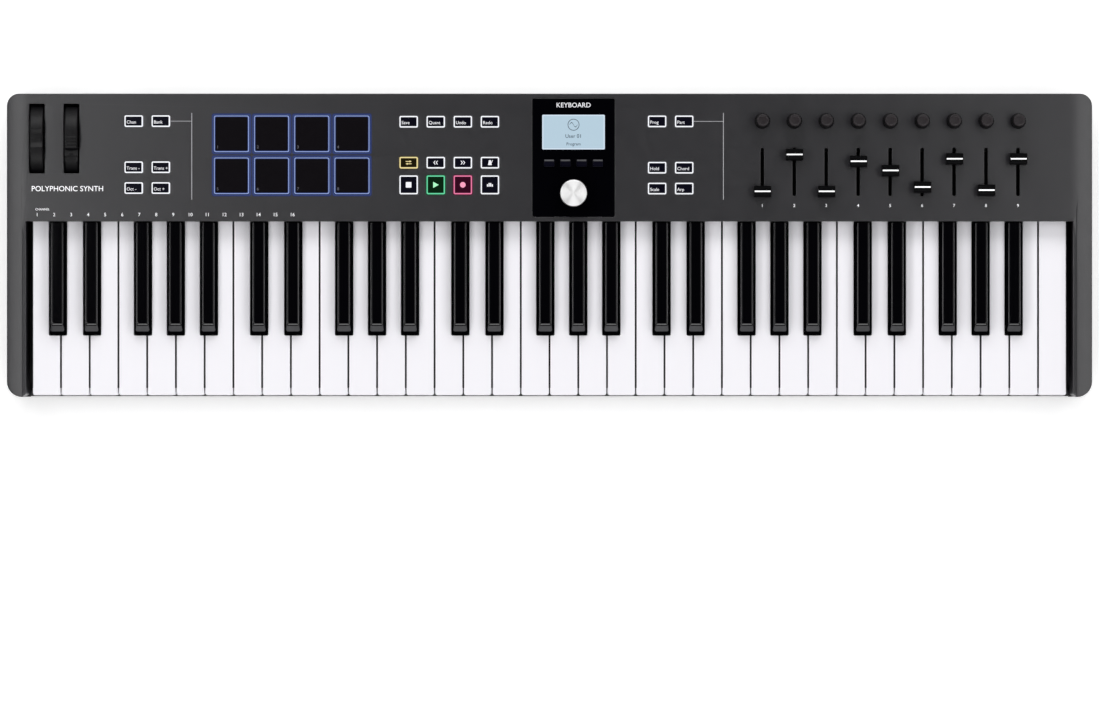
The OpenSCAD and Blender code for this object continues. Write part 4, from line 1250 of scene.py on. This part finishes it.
# each CAD node's look, and the record's slot that it belongs to
CAD_LOOKS = {
    "bottom_case": ("base_plastic", "case_plastic"),
    "keybed_chassis": ("chassis_steel", "steel_frame"),
    "key_contact_board": ("circuit_board", "circuit_board"),
    "key_domes": ("dome_rubber_and_edge_highlight", "rubber"),
    "key_felts": ("red_felt", "felt"),
    "wheel_bracket": ("dark_plastic", "dark_plastic"),
    "display_module": ("steel_frame", "screen"),
    "main_board": ("circuit_board", "circuit_board"),
    "control_board": ("circuit_board", "circuit_board"),
    "encoder_bodies": ("screw_metal", "bright_metal"),
    "fader_bodies": ("knob_skirt_painted_shade", "bright_metal"),
    "case_screws": ("screw_metal", "screw_metal"),
    "encoder_plunger": ("bright_metal", "bright_metal"),
}


def dress_cad_pieces():
    for node, (look, slot) in CAD_LOOKS.items():
        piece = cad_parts[node]
        piece.data.materials.clear()
        piece.data.materials.append(LOOKS[look])
    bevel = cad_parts["bottom_case"].modifiers.new("bevel", "BEVEL")
    bevel.width = 0.0005
    bevel.segments = 2
    bevel.limit_method = "ANGLE"


# --- studio

def pale_floor():
    bpy.ops.mesh.primitive_plane_add(size=8, location=(0, 0, -0.0002))
    floor = bpy.context.object
    floor.name = "floor"
    card = Nodes("floor_card", (0.95, 0.95, 0.95), 0.9)
    card.mottle(4, 0.004)
    card.bump(300, 10 * MICRON)
    card.glow((1, 1, 1), 0.3)
    floor.data.materials.append(LOOKS["floor_card"])


def area_light(name, place, size, power):
    """A softbox that faces the instrument."""
    light = bpy.data.lights.new(name, "AREA")
    light.shape = "RECTANGLE"
    light.size, light.size_y = size
    light.energy = power
    lamp = new_object(name, light)
    lamp.location = place
    lamp.rotation_euler = (Vector((0, 0, 0)) - Vector(place)).to_track_quat("-Z", "Y").to_euler()


SKY = 0.2  # the studio's strength, at the sides


def sky():
    """A studio that is brighter behind than in front, and dark overhead, where the camera hangs."""
    world = bpy.data.worlds.new("studio")
    scene.world = world
    world.use_nodes = True
    tree = world.node_tree
    coordinates = tree.nodes.new("ShaderNodeTexCoord")
    split = tree.nodes.new("ShaderNodeSeparateXYZ")
    ramp = tree.nodes.new("ShaderNodeValToRGB")
    stops = ramp.color_ramp
    stops.elements[0].position = 0
    stops.elements[0].color = (1, 1, 1, 1)
    stops.elements[1].position = 0.94
    stops.elements[1].color = (0, 0, 0, 1)
    middle = stops.elements.new(0.86)
    middle.color = (1, 1, 1, 1)
    background = tree.nodes["Background"]
    dimmer = tree.nodes.new("ShaderNodeMapRange")
    dimmer.inputs["From Min"].default_value = -1
    dimmer.inputs["To Min"].default_value = SKY * 0.4
    dimmer.inputs["To Max"].default_value = SKY * 1.6
    for source, output, target, socket in (
        (coordinates, "Generated", split, "Vector"), (split, "Z", ramp, "Fac"),
        (split, "Y", dimmer, "Value"), (ramp, "Color", background, "Color"),
        (dimmer, "Result", background, "Strength"),
    ):
        tree.links.new(source.outputs[output], target.inputs[socket])


def camera():
    """Straight down, with the instrument in the upper part of the picture."""
    lens = bpy.data.cameras.new("camera")
    seen = 0.8966  # width seen at the panel, in metres
    height = 5.5  # over the panel
    back = -0.0948  # forward of the instrument, so that it stands high in the picture
    lens.lens = lens.sensor_width * height / seen
    view = new_object("camera", lens)
    view.location = (0, back, PANEL_Z * MM + height)
    scene.camera = view


make_top_case()
print_on_panel()
print_on_rear()
make_front_trim()
make_feet()
make_keys()
make_wheel("pitch_wheel", -80, 80, notch=(0, 11.5, 3.2), ribs=(0, 0))
make_wheel("mod_wheel", -108, 50, notch=(-24, 5.5, 5), ribs=(-13, 4))
make_text_buttons("left_buttons", ["Oct -", "Trans -", "Chan", "Oct +", "Trans +", "Bank"])
make_text_buttons("right_buttons", ["Scale", "Hold", "Prog", "Arp", "Chord", "Part"])
make_text_buttons("edit_buttons", ["Save", "Quant", "Undo", "Redo"])
make_icon_buttons("loop_buttons", LOOP_BUTTONS)
make_icon_buttons("transport_buttons", TRANSPORT_BUTTONS)
make_pads()
light_bleed()
make_screen()
make_screen_buttons()
make_main_knob()
for number, box in zip(STRIPS, knob_boxes):
    make_knob(number, box)
for number, box in zip(STRIPS, fader_boxes):
    make_fader(number, box)
make_pedal_jack()
make_midi_socket()
make_usb_socket()
dress_cad_pieces()

pale_floor()
area_light("left_softbox", (-0.82, 0, 1.4), (1.4, 0.38), 7.3)
area_light("right_softbox", (1.02, 0, 1.4), (1.4, 0.8), 8.5)
area_light("front_softbox", (0, -2.0, 1.5), (2.4, 1.0), 25)
area_light("rear_softbox", (0, 2.0, 1.5), (2.4, 1.0), 37)
sky()
camera()
scene.view_settings.view_transform = "Standard"
